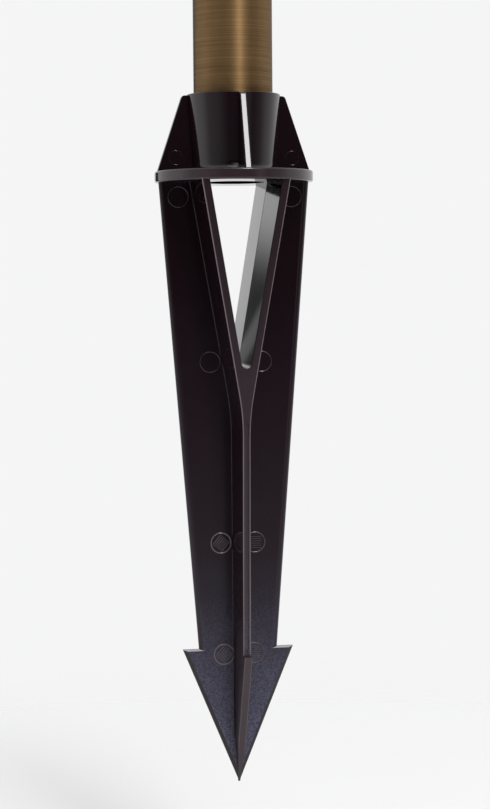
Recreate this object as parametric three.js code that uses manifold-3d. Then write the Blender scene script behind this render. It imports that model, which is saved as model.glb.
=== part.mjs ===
// Oil burning tiki torch: moulded ground spike, brass post and spun brass head.
// Millimetres, +Z up. The origin is the centre of the flange's underside, which is ground level
// when the spike is pushed in. The front fin of the spike points to -Y and the side fins to +X and -X.
import * as THREE from 'three';
import { mergeVertices } from 'three/addons/utils/BufferGeometryUtils.js';
import Module from 'manifold-3d';

const wasm = await Module();
wasm.setup();

// ---------------------------------------------------------------- driving dimensions
const INCH = 25.4;
const SEAT_GAP = 0.1; // between two pieces that rest on each other
const SLIP = 0.3; // running clearance on the radius
const THROUGH = 2; // how far a cutter runs past the face it cuts
const OVERLAP = 1; // how far two joined solids run into each other
const WELD = 1e-4; // points closer than this are one
const WIDE_SIDES = 48;
const RING_SIDES = 32;
const SMALL_SIDES = 24;
const PIN_SIDES = 20;
const SCREW_SIDES = 16;
const HEXAGON = 6;
const CURVE_SEGMENTS = 6;

// Post
const POST_R = (1.25 * INCH) / 2;
const POST_WALL = 1.6;
const POST_LENGTH = 24 * INCH;

// Ground spike: hub
const FLANGE_R = 31.9;
const FLANGE_T = 4.5;
const FLANGE_EDGE = 0.7;
const SOCKET_TOP = 35;
const SOCKET_TOP_R = 18.95;
const SOCKET_BASE_R = 16.85;
const SOCKET_FILLET = 2;
const SOCKET_FILLET_STEPS = 4;
const SOCKET_SEAT = 15;
const SOCKET_RIM = 0.4;
const DRAIN_R = 12.5;
const GUSSET_T = 2.4;
const GUSSET_TOP = 21;
const GUSSET_FOOT = 31.1;
const GUSSET_CORNER = 1.3;

// Ground spike: blade
const WEB_T = 3.1;
const BARB_Z = -189;
const BARB_REACH = 22.8;
const TIP_Z = -244.3;
const TIP_HALF = 0.5;
const SIDE_FIN_TOP = 30.8;
const SIDE_FIN_LOW = 16.2;
const FRONT_FIN_TOP = 26.7;
const FRONT_FIN_LOW = 19.2;
const LEG_OUTER = 17.65;
const LEG_INNER = 14.5;
const WINDOW_BOTTOM = -73.9;
const WINDOW_R = 2;
const NECK_TOP = -85;
const NECK_BOTTOM = -101;
const ACROSS = 4 * FLANGE_R; // longer than the spike is wide

// Head collar
const COLLAR_SKIRT = 34;
const COLLAR_WEB = 6;
const COLLAR_R = 18.6;
const COLLAR_BEAD_R = 20.2;
const COLLAR_BEAD_H = 4;
const COLLAR_TOP_R = 23;
const SCREW_COUNT = 3;
const SCREW_R = 2;
const SCREW_DROP = 17;
const SCREW_LENGTH = 4.5;
const HEX_KEY_R = 1.15;
const HEX_KEY_DEPTH = 2;

// Torch cup
const CUP_DEPTH = 130;
const CUP_WALL = 1.2;
const CUP_BASE_R = 20;
const CUP_MOUTH_R = 52;
const CUP_STEPS = 10;
const CUP_STRAIGHT = 0.55; // share of the flare that is a plain cone
const RIM_R = 2.2;
const RIM_STEPS = 10;
const RIM_OPENING = 40; // degrees on each side of the rim's foot that are left open for the cup's edge
const RIM_SLOT_EASE = 0.2;
const BOLT_R = 3;
const BOLT_HEAD_R = 5.6;
const BOLT_HEAD_H = 3.6;
const BOLT_SHOULDER = 0.6; // share of the head's height that is straight
const BOLT_CROWN = 0.8; // share of the head's radius at its top
const BOLT_KEY_R = 2.1;
const BOLT_LENGTH = 14;
const WASHER_R = 10;
const WASHER_T = 1.2;
const NUT_R = 5.6;
const NUT_T = 5;

// Fuel canister and lid
const CAN_R = 46.5;
const CAN_FOOT_R = 30;
const CAN_FOOT_CHAMFER = 3;
const CAN_DEPTH = 84;
const CAN_COLLAR = 8;
const CAN_WALL = 0.9;
const LID_R = 56;
const LID_T = 1.4;
const LID_RISE = 6;
const LID_PANEL_R = 43;
const LID_STEP = 2.5;
const LID_SKIRT = 6;
const LID_SKIRT_T = 1.12;
const LID_EDGE = 0.5;
const NECK_R = 13.4;
const NECK_WALL = 1.6;
const NECK_H = 12;
const GASKET_T = 1.5;
const GASKET_BORE = 8.4;

// Burner
const BURNER_WALL = 3;
const BURNER_TOP_T = 2.6;
const BURNER_SKIRT = 12;
const BURNER_EDGE = 1;
const WICK_R = 5.8;
const WICK_TUBE_R = 7;
const WICK_TUBE_WALL = 0.8;
const WICK_TUBE_UP = 10;
const WICK_TUBE_DOWN = 22;
const WICK_TUBE_FLANGE_R = 9.5;
const WICK_TUBE_FLANGE_T = 1;
const WICK_UP = 8;
const WICK_FLOOR = 4;

// Snuffer
const HINGE_X = 32;
const HINGE_RISE = 1;
const PIN_R = 1.5;
const PIN_HALF = 7;
const PIN_HEAD_R = 2.6;
const PIN_HEAD_T = 1.2;
const BARREL_R = 3.2;
const ARM_HALF = 4.2;
const ARM_T = 1.8;
const ARM_CORNER_X = 14;
const EAR_INNER = 4.6;
const EAR_OUTER = 6.1;
const EAR_FRONT = 5;
const EAR_TOP = 4.2;
const BRACKET_T = 1.4;
const BRACKET_REACH = 9;
const STOP_X = 5;
const STOP_T = 1.4;
const RIVET_R = 1.5;
const RIVET_HEAD_R = 2.6;
const RIVET_HEAD_H = 1.2;
const RIVET_CROWN_R = 1.82;
const RIVET_TAIL_H = 1;
const RIVET_SETBACK = 2; // in front of the bracket's ears
const RIVET_HALF = 3; // half of the distance between the two rivets
const BELL_R = 14;
const BELL_TOP_R = 9;
const BELL_WALL = 1;
const BELL_DEPTH = 24;
const BELL_GAP = 0.5;
const BELL_LIP = 1;
const BELL_LIP_TOP = 2;
const BELL_BEND = [1.5, 3.4]; // inwards and upwards from the shoulder, outside
const BELL_INNER_BEND = [1.2, 2.8]; // the same, inside
const BELL_SIDES = 36;
const KNOB_R = 5;
const KNOB_BANDS = 14;
const KNOB_FOOT_R = 3.5;
const KNOB_FOOT_H = 3;
const STUD_R = 1.8;
const STUD_PROUD = 0.5;
const SNUFFER_NUT_R = 4;
const SNUFFER_NUT_T = 2.4;
const SNUFFER_OPEN = THREE.MathUtils.degToRad(105);

// ---------------------------------------------------------------- levels up the torch
const POST_BOTTOM = SOCKET_SEAT + SEAT_GAP;
const POST_TOP = POST_BOTTOM + POST_LENGTH;
const WEB_BOTTOM = POST_TOP + SEAT_GAP;
const COLLAR_TOP = WEB_BOTTOM + COLLAR_WEB;
const CUP_BOTTOM = COLLAR_TOP + SEAT_GAP;
const CUP_TOP = CUP_BOTTOM + CUP_DEPTH;
const RIM_TOP = CUP_TOP + RIM_R;
const LID_EDGE_Z = RIM_TOP + SEAT_GAP;
const LID_Z = LID_EDGE_Z + LID_RISE;
const PANEL_TOP_Z = LID_Z + LID_T;
const NECK_TOP_Z = PANEL_TOP_Z + NECK_H;
const GASKET_Z = NECK_TOP_Z + SEAT_GAP;
const BURNER_Z = GASKET_Z + GASKET_T + SEAT_GAP;
const BURNER_TOP_Z = BURNER_Z + BURNER_TOP_T;
const HINGE_Z = BURNER_TOP_Z + HINGE_RISE;

// ---------------------------------------------------------------- finishes
const FINISH = {
  spikePlastic: { color: 0x2a1c22, roughness: 0.55, metalness: 0 },
  antiqueBrass: { color: 0x6e5a34, roughness: 0.4, metalness: 1 },
  steel: { color: 0xb9bcc0, roughness: 0.35, metalness: 1 },
  tinplate: { color: 0x9a9b98, roughness: 0.45, metalness: 1 },
  rubber: { color: 0x1b1b1b, roughness: 0.9, metalness: 0 },
  glassFibre: { color: 0xd9d2bf, roughness: 0.95, metalness: 0 },
};

// ---------------------------------------------------------------- shape helpers

/** Solid of revolution about +Z from an outline of [r, z] points that starts and ends on the axis. */
function revolve(outline, sides = WIDE_SIDES) {
  const points = outline.map(([r, z]) => new THREE.Vector2(r, z));
  return new THREE.LatheGeometry(points, sides).rotateX(Math.PI / 2);
}

/** Hollow solid of revolution: the outline closes on itself clear of the axis. */
function revolveRing(outline, sides = WIDE_SIDES) {
  return revolve([...outline, outline[0]], sides);
}

/** Upright cylinder from zLow to zHigh. */
function rod(radius, zLow, zHigh, sides = SMALL_SIDES) {
  const height = zHigh - zLow;
  return new THREE.CylinderGeometry(radius, radius, height, sides)
    .rotateX(Math.PI / 2)
    .translate(0, 0, (zLow + zHigh) / 2);
}

/** Plate with an outline in X and Z, its thickness centred on Y = 0. */
function plateXZ(shape, thickness) {
  const settings = { depth: thickness, bevelEnabled: false, curveSegments: CURVE_SEGMENTS };
  const geometry = new THREE.ExtrudeGeometry(shape, settings);
  return geometry.translate(0, 0, -thickness / 2).rotateX(Math.PI / 2);
}

/** Plate with an outline in Y and Z, its thickness centred on X = 0. */
function plateYZ(shape, thickness) {
  return plateXZ(shape, thickness).rotateZ(Math.PI / 2);
}

/** Shape through a list of [u, v] corners. */
function polygon(corners) {
  return new THREE.Shape(corners.map(([u, v]) => new THREE.Vector2(u, v)));
}

/** Shape that is the same on both sides of u = 0, from its right hand corners, top to bottom. */
function mirrored(corners) {
  const left = corners.map(([u, v]) => [-u, v]).reverse();
  return polygon([...left, ...corners]);
}

/** Manifold solid of a closed geometry. */
function solid(geometry) {
  const bare = geometry.clone();
  bare.deleteAttribute('normal');
  bare.deleteAttribute('uv');
  const merged = mergeVertices(bare, WELD);
  const mesh = new wasm.Mesh({
    numProp: 3,
    vertProperties: new Float32Array(merged.attributes.position.array),
    triVerts: new Uint32Array(merged.index.array),
  });
  return new wasm.Manifold(mesh);
}

/** Geometry of a manifold solid. */
function geometryOf(manifold) {
  const mesh = manifold.getMesh();
  const geometry = new THREE.BufferGeometry();
  geometry.setAttribute('position', new THREE.BufferAttribute(mesh.vertProperties, 3));
  geometry.setIndex(new THREE.BufferAttribute(mesh.triVerts, 1));
  geometry.computeVertexNormals();
  return geometry;
}

/** Joins the first list of geometries and cuts the second list from them. */
function carve(kept, cut = []) {
  const joined = kept.map(solid).reduce((whole, piece) => whole.add(piece));
  return geometryOf(cut.map(solid).reduce((whole, piece) => whole.subtract(piece), joined));
}

const torch = new THREE.Group();

/** Adds one named piece to a group. */
function addPiece(name, geometry, finish, group = torch) {
  const mesh = new THREE.Mesh(geometry, new THREE.MeshStandardMaterial(FINISH[finish]));
  mesh.name = name;
  group.add(mesh);
  return mesh;
}

// ---------------------------------------------------------------- ground spike

/** Flange, tapered socket cup and through drain, turned about the post's axis. */
function spikeHub() {
  const filletPoints = [];
  for (let step = 1; step < SOCKET_FILLET_STEPS; step += 1) {
    const angle = ((step / SOCKET_FILLET_STEPS) * Math.PI) / 2;
    const r = SOCKET_BASE_R + SOCKET_FILLET * (1 - Math.sin(angle));
    filletPoints.push([r, FLANGE_T + SOCKET_FILLET * (1 - Math.cos(angle))]);
  }
  return revolveRing([
    [DRAIN_R, 0],
    [FLANGE_R - FLANGE_EDGE, 0],
    [FLANGE_R, FLANGE_EDGE],
    [FLANGE_R, FLANGE_T - FLANGE_EDGE],
    [FLANGE_R - FLANGE_EDGE, FLANGE_T],
    [SOCKET_BASE_R + SOCKET_FILLET, FLANGE_T],
    ...filletPoints,
    [SOCKET_BASE_R, FLANGE_T + SOCKET_FILLET],
    [SOCKET_TOP_R, SOCKET_TOP - SOCKET_RIM],
    [SOCKET_TOP_R - SOCKET_RIM, SOCKET_TOP],
    [POST_R + SLIP + SOCKET_RIM, SOCKET_TOP],
    [POST_R + SLIP, SOCKET_TOP - SOCKET_RIM],
    [POST_R + SLIP, SOCKET_SEAT],
    [DRAIN_R, SOCKET_SEAT],
  ]);
}

/** One pair of gussets as a plate across the hub; the socket's bore is cut from it afterwards. */
function gussetShape() {
  return mirrored([
    [GUSSET_TOP - GUSSET_CORNER, SOCKET_TOP - SOCKET_RIM],
    [GUSSET_TOP, SOCKET_TOP - SOCKET_RIM - GUSSET_CORNER],
    [GUSSET_FOOT, FLANGE_T],
    [GUSSET_FOOT, FLANGE_T / 2],
  ]);
}

/** Outline of a pair of opposite fins: tapered sides, square barbs and an arrow head. */
function finShape(topHalf, lowHalf) {
  return mirrored([
    [topHalf, FLANGE_EDGE],
    [lowHalf, BARB_Z],
    [BARB_REACH, BARB_Z],
    [TIP_HALF, TIP_Z],
  ]);
}

/** Y shaped outline of the front and rear fins: two legs under the flange that meet in one web. */
function forkShape() {
  const shape = new THREE.Shape();
  const half = WEB_T / 2;
  const lean = (LEG_OUTER - half) / -(NECK_TOP + NECK_BOTTOM) * 2;
  const neckHalf = LEG_OUTER + lean * NECK_TOP;
  shape.moveTo(-LEG_OUTER, FLANGE_EDGE);
  shape.lineTo(-neckHalf, NECK_TOP);
  shape.quadraticCurveTo(-half, (NECK_TOP + NECK_BOTTOM) / 2, -half, NECK_BOTTOM);
  shape.lineTo(-half, TIP_Z);
  shape.lineTo(half, TIP_Z);
  shape.lineTo(half, NECK_BOTTOM);
  shape.quadraticCurveTo(half, (NECK_TOP + NECK_BOTTOM) / 2, neckHalf, NECK_TOP);
  shape.lineTo(LEG_OUTER, FLANGE_EDGE);
  return shape;
}

/** Triangular window between the legs, with a round bottom, open right through from front to rear. */
function windowShape() {
  const shape = new THREE.Shape();
  const centreZ = WINDOW_BOTTOM + WINDOW_R;
  shape.moveTo(LEG_INNER, 0);
  shape.lineTo(-LEG_INNER, 0);
  shape.lineTo(-WINDOW_R, centreZ);
  shape.absarc(0, centreZ, WINDOW_R, Math.PI, 2 * Math.PI, false);
  return shape;
}

/** The blade's front and rear fins: the fork outline, limited to the fins' own side outline. */
function frontFins() {
  const fork = solid(plateXZ(forkShape(), ACROSS));
  const sides = solid(plateYZ(finShape(FRONT_FIN_TOP, FRONT_FIN_LOW), ACROSS));
  return geometryOf(fork.intersect(sides));
}

/** The spike: hub, gussets and blade joined, with the window, the bore and the drain cut through. */
function buildGroundSpike() {
  const window = plateXZ(windowShape(), ACROSS);
  const bore = rod(POST_R + SLIP, SOCKET_SEAT, SOCKET_TOP + THROUGH, WIDE_SIDES);
  const drain = rod(DRAIN_R, -THROUGH, SOCKET_SEAT + THROUGH, WIDE_SIDES);
  const gussets = [
    plateXZ(gussetShape(), GUSSET_T),
    plateYZ(gussetShape(), GUSSET_T),
  ];
  const blade = [plateXZ(finShape(SIDE_FIN_TOP, SIDE_FIN_LOW), WEB_T), frontFins()];
  addPiece('ground_spike', carve([spikeHub(), ...gussets, ...blade], [window, bore, drain]), 'spikePlastic');
}

// ---------------------------------------------------------------- post and collar

/** Plain tube that stands on the seat in the spike's socket. */
function buildPost() {
  const inner = POST_R - POST_WALL;
  const tube = revolveRing([
    [inner, POST_BOTTOM],
    [POST_R, POST_BOTTOM],
    [POST_R, POST_TOP],
    [inner, POST_TOP],
  ]);
  addPiece('post_tube', tube, 'antiqueBrass');
}

/** Collar outline: bead, plain skirt, bead and a flared seat for the cup. */
function collarBody() {
  const bottom = POST_TOP - COLLAR_SKIRT;
  const bead = COLLAR_BEAD_R - COLLAR_R;
  const flareStart = COLLAR_TOP - COLLAR_TOP_R + COLLAR_R - COLLAR_BEAD_H;
  return revolveRing([
    [POST_R + SLIP, bottom],
    [COLLAR_BEAD_R - bead / 2, bottom],
    [COLLAR_BEAD_R, bottom + bead / 2],
    [COLLAR_BEAD_R, bottom + COLLAR_BEAD_H - bead / 2],
    [COLLAR_R, bottom + COLLAR_BEAD_H + bead / 2],
    [COLLAR_R, flareStart],
    [COLLAR_TOP_R, COLLAR_TOP - COLLAR_BEAD_H],
    [COLLAR_TOP_R, COLLAR_TOP - bead / 2],
    [COLLAR_TOP_R - bead / 2, COLLAR_TOP],
    [BOLT_R + SLIP, COLLAR_TOP],
    [BOLT_R + SLIP, WEB_BOTTOM],
    [POST_R + SLIP, WEB_BOTTOM],
  ]);
}

/** Moves a geometry that points along +X from the axis to one of the set screw places. */
function toScrewPlace(geometry, index) {
  return geometry
    .rotateZ((index * 2 * Math.PI) / SCREW_COUNT + Math.PI)
    .translate(0, 0, POST_TOP - SCREW_DROP);
}

/** Cylinder along +X from xLow to xHigh. */
function rodAlongX(radius, xLow, xHigh, sides = SMALL_SIDES) {
  return rod(radius, xLow, xHigh, sides).rotateY(Math.PI / 2);
}

/** Collar with its set screws, each with a hexagon key hole. */
function buildCollar() {
  const indices = Array.from({ length: SCREW_COUNT }, (_, index) => index);
  const holes = indices.map((index) => {
    const hole = rodAlongX(SCREW_R + SEAT_GAP, POST_R - THROUGH, COLLAR_BEAD_R + THROUGH, SCREW_SIDES);
    return toScrewPlace(hole, index);
  });
  addPiece('head_collar', carve([collarBody()], holes), 'antiqueBrass');

  for (const index of indices) {
    const tip = POST_R + SEAT_GAP;
    const outer = tip + SCREW_LENGTH;
    const shank = rodAlongX(SCREW_R, tip, outer, SCREW_SIDES);
    const keyHole = rodAlongX(HEX_KEY_R, outer - HEX_KEY_DEPTH, outer + THROUGH, HEXAGON);
    addPiece(`collar_screw_${index + 1}`, toScrewPlace(carve([shank], [keyHole]), index), 'steel');
  }
}

// ---------------------------------------------------------------- torch cup

/** Outer radius of the cup at a height above its base: a flare that opens slowly, then straight. */
function cupRadius(height) {
  const t = height / CUP_DEPTH;
  const flare = CUP_STRAIGHT * t + (1 - CUP_STRAIGHT) * Math.sin((t * Math.PI) / 2);
  return CUP_BASE_R + (CUP_MOUTH_R - CUP_BASE_R) * flare;
}

/** Cup wall points from base to mouth, set in from the outside by a thickness. */
function cupWall(inset, floor) {
  const points = [];
  for (let step = 0; step <= CUP_STEPS; step += 1) {
    const height = floor + ((CUP_DEPTH - floor) * step) / CUP_STEPS;
    points.push([cupRadius(height) - inset, CUP_BOTTOM + height]);
  }
  return points;
}

/** Cup wall, and the rolled rim with a slot over the wall's edge. */
function buildCup() {
  const shell = revolveRing([
    [BOLT_R + SLIP, CUP_BOTTOM],
    ...cupWall(0, 0),
    ...cupWall(CUP_WALL, CUP_WALL).reverse(),
    [BOLT_R + SLIP, CUP_BOTTOM + CUP_WALL],
  ]);
  addPiece('torch_cup', shell, 'antiqueBrass');

  const arc = [];
  const slotHalf = CUP_WALL / 2 + SEAT_GAP + RIM_SLOT_EASE;
  const ringR = CUP_MOUTH_R - CUP_WALL / 2;
  for (let step = 0; step <= RIM_STEPS; step += 1) {
    const turn = THREE.MathUtils.lerp(RIM_OPENING - 90, 270 - RIM_OPENING, step / RIM_STEPS);
    const angle = THREE.MathUtils.degToRad(turn);
    arc.push([ringR + RIM_R * Math.cos(angle), CUP_TOP + RIM_R * Math.sin(angle)]);
  }
  const slotTop = CUP_TOP + SEAT_GAP;
  const slotBottom = CUP_TOP - RIM_R * Math.cos(THREE.MathUtils.degToRad(RIM_OPENING));
  const ring = revolveRing([
    ...arc,
    [ringR - slotHalf, slotBottom],
    [ringR - slotHalf, slotTop],
    [ringR + slotHalf, slotTop],
    [ringR + slotHalf, slotBottom],
  ]);
  addPiece('rim_ring', ring, 'antiqueBrass');
}

/** Bolt down through washer, cup and collar web into a nut inside the post. */
function buildCupFixing() {
  const washerZ = CUP_BOTTOM + CUP_WALL + SEAT_GAP;
  const headZ = washerZ + WASHER_T + SEAT_GAP;
  const nutTop = WEB_BOTTOM - SEAT_GAP;
  const washer = revolveRing([
    [BOLT_R + SLIP, washerZ],
    [WASHER_R, washerZ],
    [WASHER_R, washerZ + WASHER_T],
    [BOLT_R + SLIP, washerZ + WASHER_T],
  ], SMALL_SIDES);
  addPiece('cup_washer', washer, 'steel');

  const head = revolve([
    [0, headZ],
    [BOLT_HEAD_R, headZ],
    [BOLT_HEAD_R, headZ + BOLT_HEAD_H * BOLT_SHOULDER],
    [BOLT_HEAD_R * BOLT_CROWN, headZ + BOLT_HEAD_H],
    [0, headZ + BOLT_HEAD_H],
  ], SMALL_SIDES);
  const headTop = headZ + BOLT_HEAD_H;
  const shank = rod(BOLT_R - SEAT_GAP, headZ - BOLT_LENGTH, headZ + OVERLAP);
  const keyHole = rod(BOLT_KEY_R, headTop - HEX_KEY_DEPTH, headTop + THROUGH, HEXAGON);
  addPiece('cup_bolt', carve([head, shank], [keyHole]), 'steel');

  const hexagon = rod(NUT_R, nutTop - NUT_T, nutTop, HEXAGON);
  const nutBore = rod(BOLT_R, nutTop - NUT_T - THROUGH, nutTop + THROUGH);
  addPiece('cup_nut', carve([hexagon], [nutBore]), 'steel');
}

// ---------------------------------------------------------------- fuel canister, lid and burner

/** Drawn canister that hangs in the cup from the lid. */
function buildCanister() {
  const top = LID_EDGE_Z - SEAT_GAP;
  const bottom = top - CAN_DEPTH;
  const floor = bottom + CAN_WALL;
  const body = revolve([
    [0, bottom],
    [CAN_FOOT_R - CAN_FOOT_CHAMFER, bottom],
    [CAN_FOOT_R, bottom + CAN_FOOT_CHAMFER],
    [CAN_R, top - CAN_COLLAR],
    [CAN_R, top],
    [CAN_R - CAN_WALL, top],
    [CAN_R - CAN_WALL, top - CAN_COLLAR],
    [CAN_FOOT_R - CAN_WALL, bottom + CAN_FOOT_CHAMFER],
    [CAN_FOOT_R - CAN_FOOT_CHAMFER - CAN_WALL / 2, floor],
    [0, floor],
  ]);
  addPiece('fuel_canister', body, 'tinplate');
}

/** The two places on the lid's panel where the bracket is riveted, side by side before its ears. */
const RIVET_PLACES = [-1, 1].map((side) => [HINGE_X - EAR_FRONT - RIVET_SETBACK, side * RIVET_HALF]);

/** Lid with a raised panel, a skirt round the canister and the filler neck. */
function buildLid() {
  const skirtInner = CAN_R + SLIP;
  const skirtOuter = skirtInner + LID_SKIRT_T;
  const edgeTop = LID_EDGE_Z + LID_T;
  const plate = revolveRing([
    [skirtInner, LID_EDGE_Z - LID_SKIRT],
    [skirtOuter, LID_EDGE_Z - LID_SKIRT],
    [skirtOuter, LID_EDGE_Z],
    [LID_R - LID_EDGE, LID_EDGE_Z],
    [LID_R, LID_EDGE_Z + LID_EDGE],
    [LID_R, edgeTop - LID_EDGE],
    [LID_R - LID_EDGE, edgeTop],
    [LID_PANEL_R + LID_STEP, edgeTop],
    [LID_PANEL_R, PANEL_TOP_Z],
    [NECK_R, PANEL_TOP_Z],
    [NECK_R, NECK_TOP_Z],
    [NECK_R - NECK_WALL, NECK_TOP_Z],
    [NECK_R - NECK_WALL, LID_Z],
    [LID_PANEL_R - LID_T, LID_Z],
    [LID_PANEL_R + LID_STEP - LID_T, LID_EDGE_Z],
    [skirtInner, LID_EDGE_Z],
  ]);
  const rivetHoles = RIVET_PLACES.map(([x, y]) =>
    rod(RIVET_R + SEAT_GAP, LID_Z - THROUGH, PANEL_TOP_Z + THROUGH, SCREW_SIDES).translate(x, y, 0));
  addPiece('canister_lid', carve([plate], rivetHoles), 'antiqueBrass');
}

/** Gasket, screw cap, wick tube and wick. */
function buildBurner() {
  const gasket = revolveRing([
    [GASKET_BORE, GASKET_Z],
    [NECK_R, GASKET_Z],
    [NECK_R, GASKET_Z + GASKET_T],
    [GASKET_BORE, GASKET_Z + GASKET_T],
  ], RING_SIDES);
  addPiece('neck_gasket', gasket, 'rubber');

  const skirtInner = NECK_R + SLIP;
  const skirtBottom = BURNER_Z - BURNER_SKIRT;
  const cap = revolveRing([
    [WICK_TUBE_R + SEAT_GAP, BURNER_Z],
    [skirtInner, BURNER_Z],
    [skirtInner, skirtBottom],
    [skirtInner + BURNER_WALL, skirtBottom],
    [skirtInner + BURNER_WALL, BURNER_TOP_Z - BURNER_EDGE],
    [skirtInner + BURNER_WALL - BURNER_EDGE, BURNER_TOP_Z],
    [WICK_TUBE_R + SEAT_GAP, BURNER_TOP_Z],
  ]);
  addPiece('burner_cap', cap, 'antiqueBrass');

  const tubeInner = WICK_TUBE_R - WICK_TUBE_WALL;
  const flangeZ = BURNER_TOP_Z + SEAT_GAP;
  const tube = revolveRing([
    [tubeInner, BURNER_TOP_Z - WICK_TUBE_DOWN],
    [WICK_TUBE_R, BURNER_TOP_Z - WICK_TUBE_DOWN],
    [WICK_TUBE_R, flangeZ],
    [WICK_TUBE_FLANGE_R, flangeZ],
    [WICK_TUBE_FLANGE_R, flangeZ + WICK_TUBE_FLANGE_T],
    [WICK_TUBE_R, flangeZ + WICK_TUBE_FLANGE_T],
    [WICK_TUBE_R, BURNER_TOP_Z + WICK_TUBE_UP],
    [tubeInner, BURNER_TOP_Z + WICK_TUBE_UP],
  ], RING_SIDES);
  addPiece('wick_tube', tube, 'antiqueBrass');

  const canFloor = LID_EDGE_Z - CAN_DEPTH + CAN_WALL;
  const wick = rod(WICK_R, canFloor + WICK_FLOOR, BURNER_TOP_Z + WICK_TUBE_UP + WICK_UP);
  addPiece('wick', wick, 'glassFibre');
}

// ---------------------------------------------------------------- snuffer

/** Cylinder along Y, centred on the hinge axis of its own group. */
function rodAlongY(radius, half, sides = SMALL_SIDES) {
  return rod(radius, -half, half, sides).rotateX(Math.PI / 2);
}

/** Box between two corners. */
function block([x0, y0, z0], [x1, y1, z1]) {
  return new THREE.BoxGeometry(x1 - x0, y1 - y0, z1 - z0)
    .translate((x0 + x1) / 2, (y0 + y1) / 2, (z0 + z1) / 2);
}

/** Bracket, its rivets and the hinge pin, in a group whose origin is the hinge axis. */
function buildSnufferBracket() {
  const group = new THREE.Group();
  group.position.set(HINGE_X, 0, HINGE_Z);
  torch.add(group);

  const foot = PANEL_TOP_Z + SEAT_GAP - HINGE_Z;
  const rear = STOP_X + STOP_T;
  const base = block([-BRACKET_REACH, -EAR_OUTER, foot], [rear, EAR_OUTER, foot + BRACKET_T]);
  const stop = block([STOP_X, -EAR_OUTER, foot], [rear, EAR_OUTER, 0]);
  const ears = [-1, 1].map((side) => {
    const [near, far] = [side * EAR_INNER, side * EAR_OUTER].sort((a, b) => a - b);
    return block([-EAR_FRONT, near, foot], [rear, far, EAR_TOP]);
  });
  const pinHole = rodAlongY(PIN_R + SEAT_GAP, EAR_OUTER + THROUGH, PIN_SIDES);
  const rivetHoles = RIVET_PLACES.map(([x, y]) => {
    const hole = rod(RIVET_R + SEAT_GAP, foot - THROUGH, foot + BRACKET_T + THROUGH, SCREW_SIDES);
    return hole.translate(x - HINGE_X, y, 0);
  });
  addPiece('snuffer_bracket', carve([base, stop, ...ears], [pinHole, ...rivetHoles]), 'antiqueBrass', group);

  const shank = rodAlongY(PIN_R, PIN_HALF, PIN_SIDES);
  const headCentre = EAR_OUTER + SEAT_GAP + PIN_HEAD_T / 2;
  const pinHeads = [-1, 1].map((side) =>
    rodAlongY(PIN_HEAD_R, PIN_HEAD_T / 2, PIN_SIDES).translate(0, side * headCentre, 0));
  addPiece('snuffer_pin', carve([shank, ...pinHeads]), 'steel', group);

  const headZ = foot + BRACKET_T + SEAT_GAP;
  const tailZ = LID_Z - SEAT_GAP - HINGE_Z;
  RIVET_PLACES.forEach(([x, y], index) => {
    const rivet = revolve([
      [0, tailZ - RIVET_TAIL_H],
      [RIVET_HEAD_R, tailZ - RIVET_TAIL_H],
      [RIVET_HEAD_R, tailZ],
      [RIVET_R, tailZ],
      [RIVET_R, headZ],
      [RIVET_HEAD_R, headZ],
      [RIVET_CROWN_R, headZ + RIVET_HEAD_H],
      [0, headZ + RIVET_HEAD_H],
    ], SCREW_SIDES);
    addPiece(`bracket_rivet_${index + 1}`, rivet.translate(x - HINGE_X, y, 0), 'steel', group);
  });
}

/** Arm profile in X and Z, shut: up from the hinge and across over the bell. */
function armShape(armBottom) {
  const lean = Math.atan2(armBottom, ARM_CORNER_X);
  const half = ARM_T / 2;
  const across = [half * Math.sin(lean), half * Math.cos(lean)];
  const underCorner = -ARM_CORNER_X - ARM_T * Math.tan((Math.PI / 2 - lean) / 2) / 2;
  return polygon([
    [across[0], across[1]],
    [-across[0], -across[1]],
    [underCorner, armBottom],
    [-HINGE_X - BELL_TOP_R, armBottom],
    [-HINGE_X - BELL_TOP_R, armBottom + ARM_T],
    [-ARM_CORNER_X + half, armBottom + ARM_T],
  ]);
}

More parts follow.
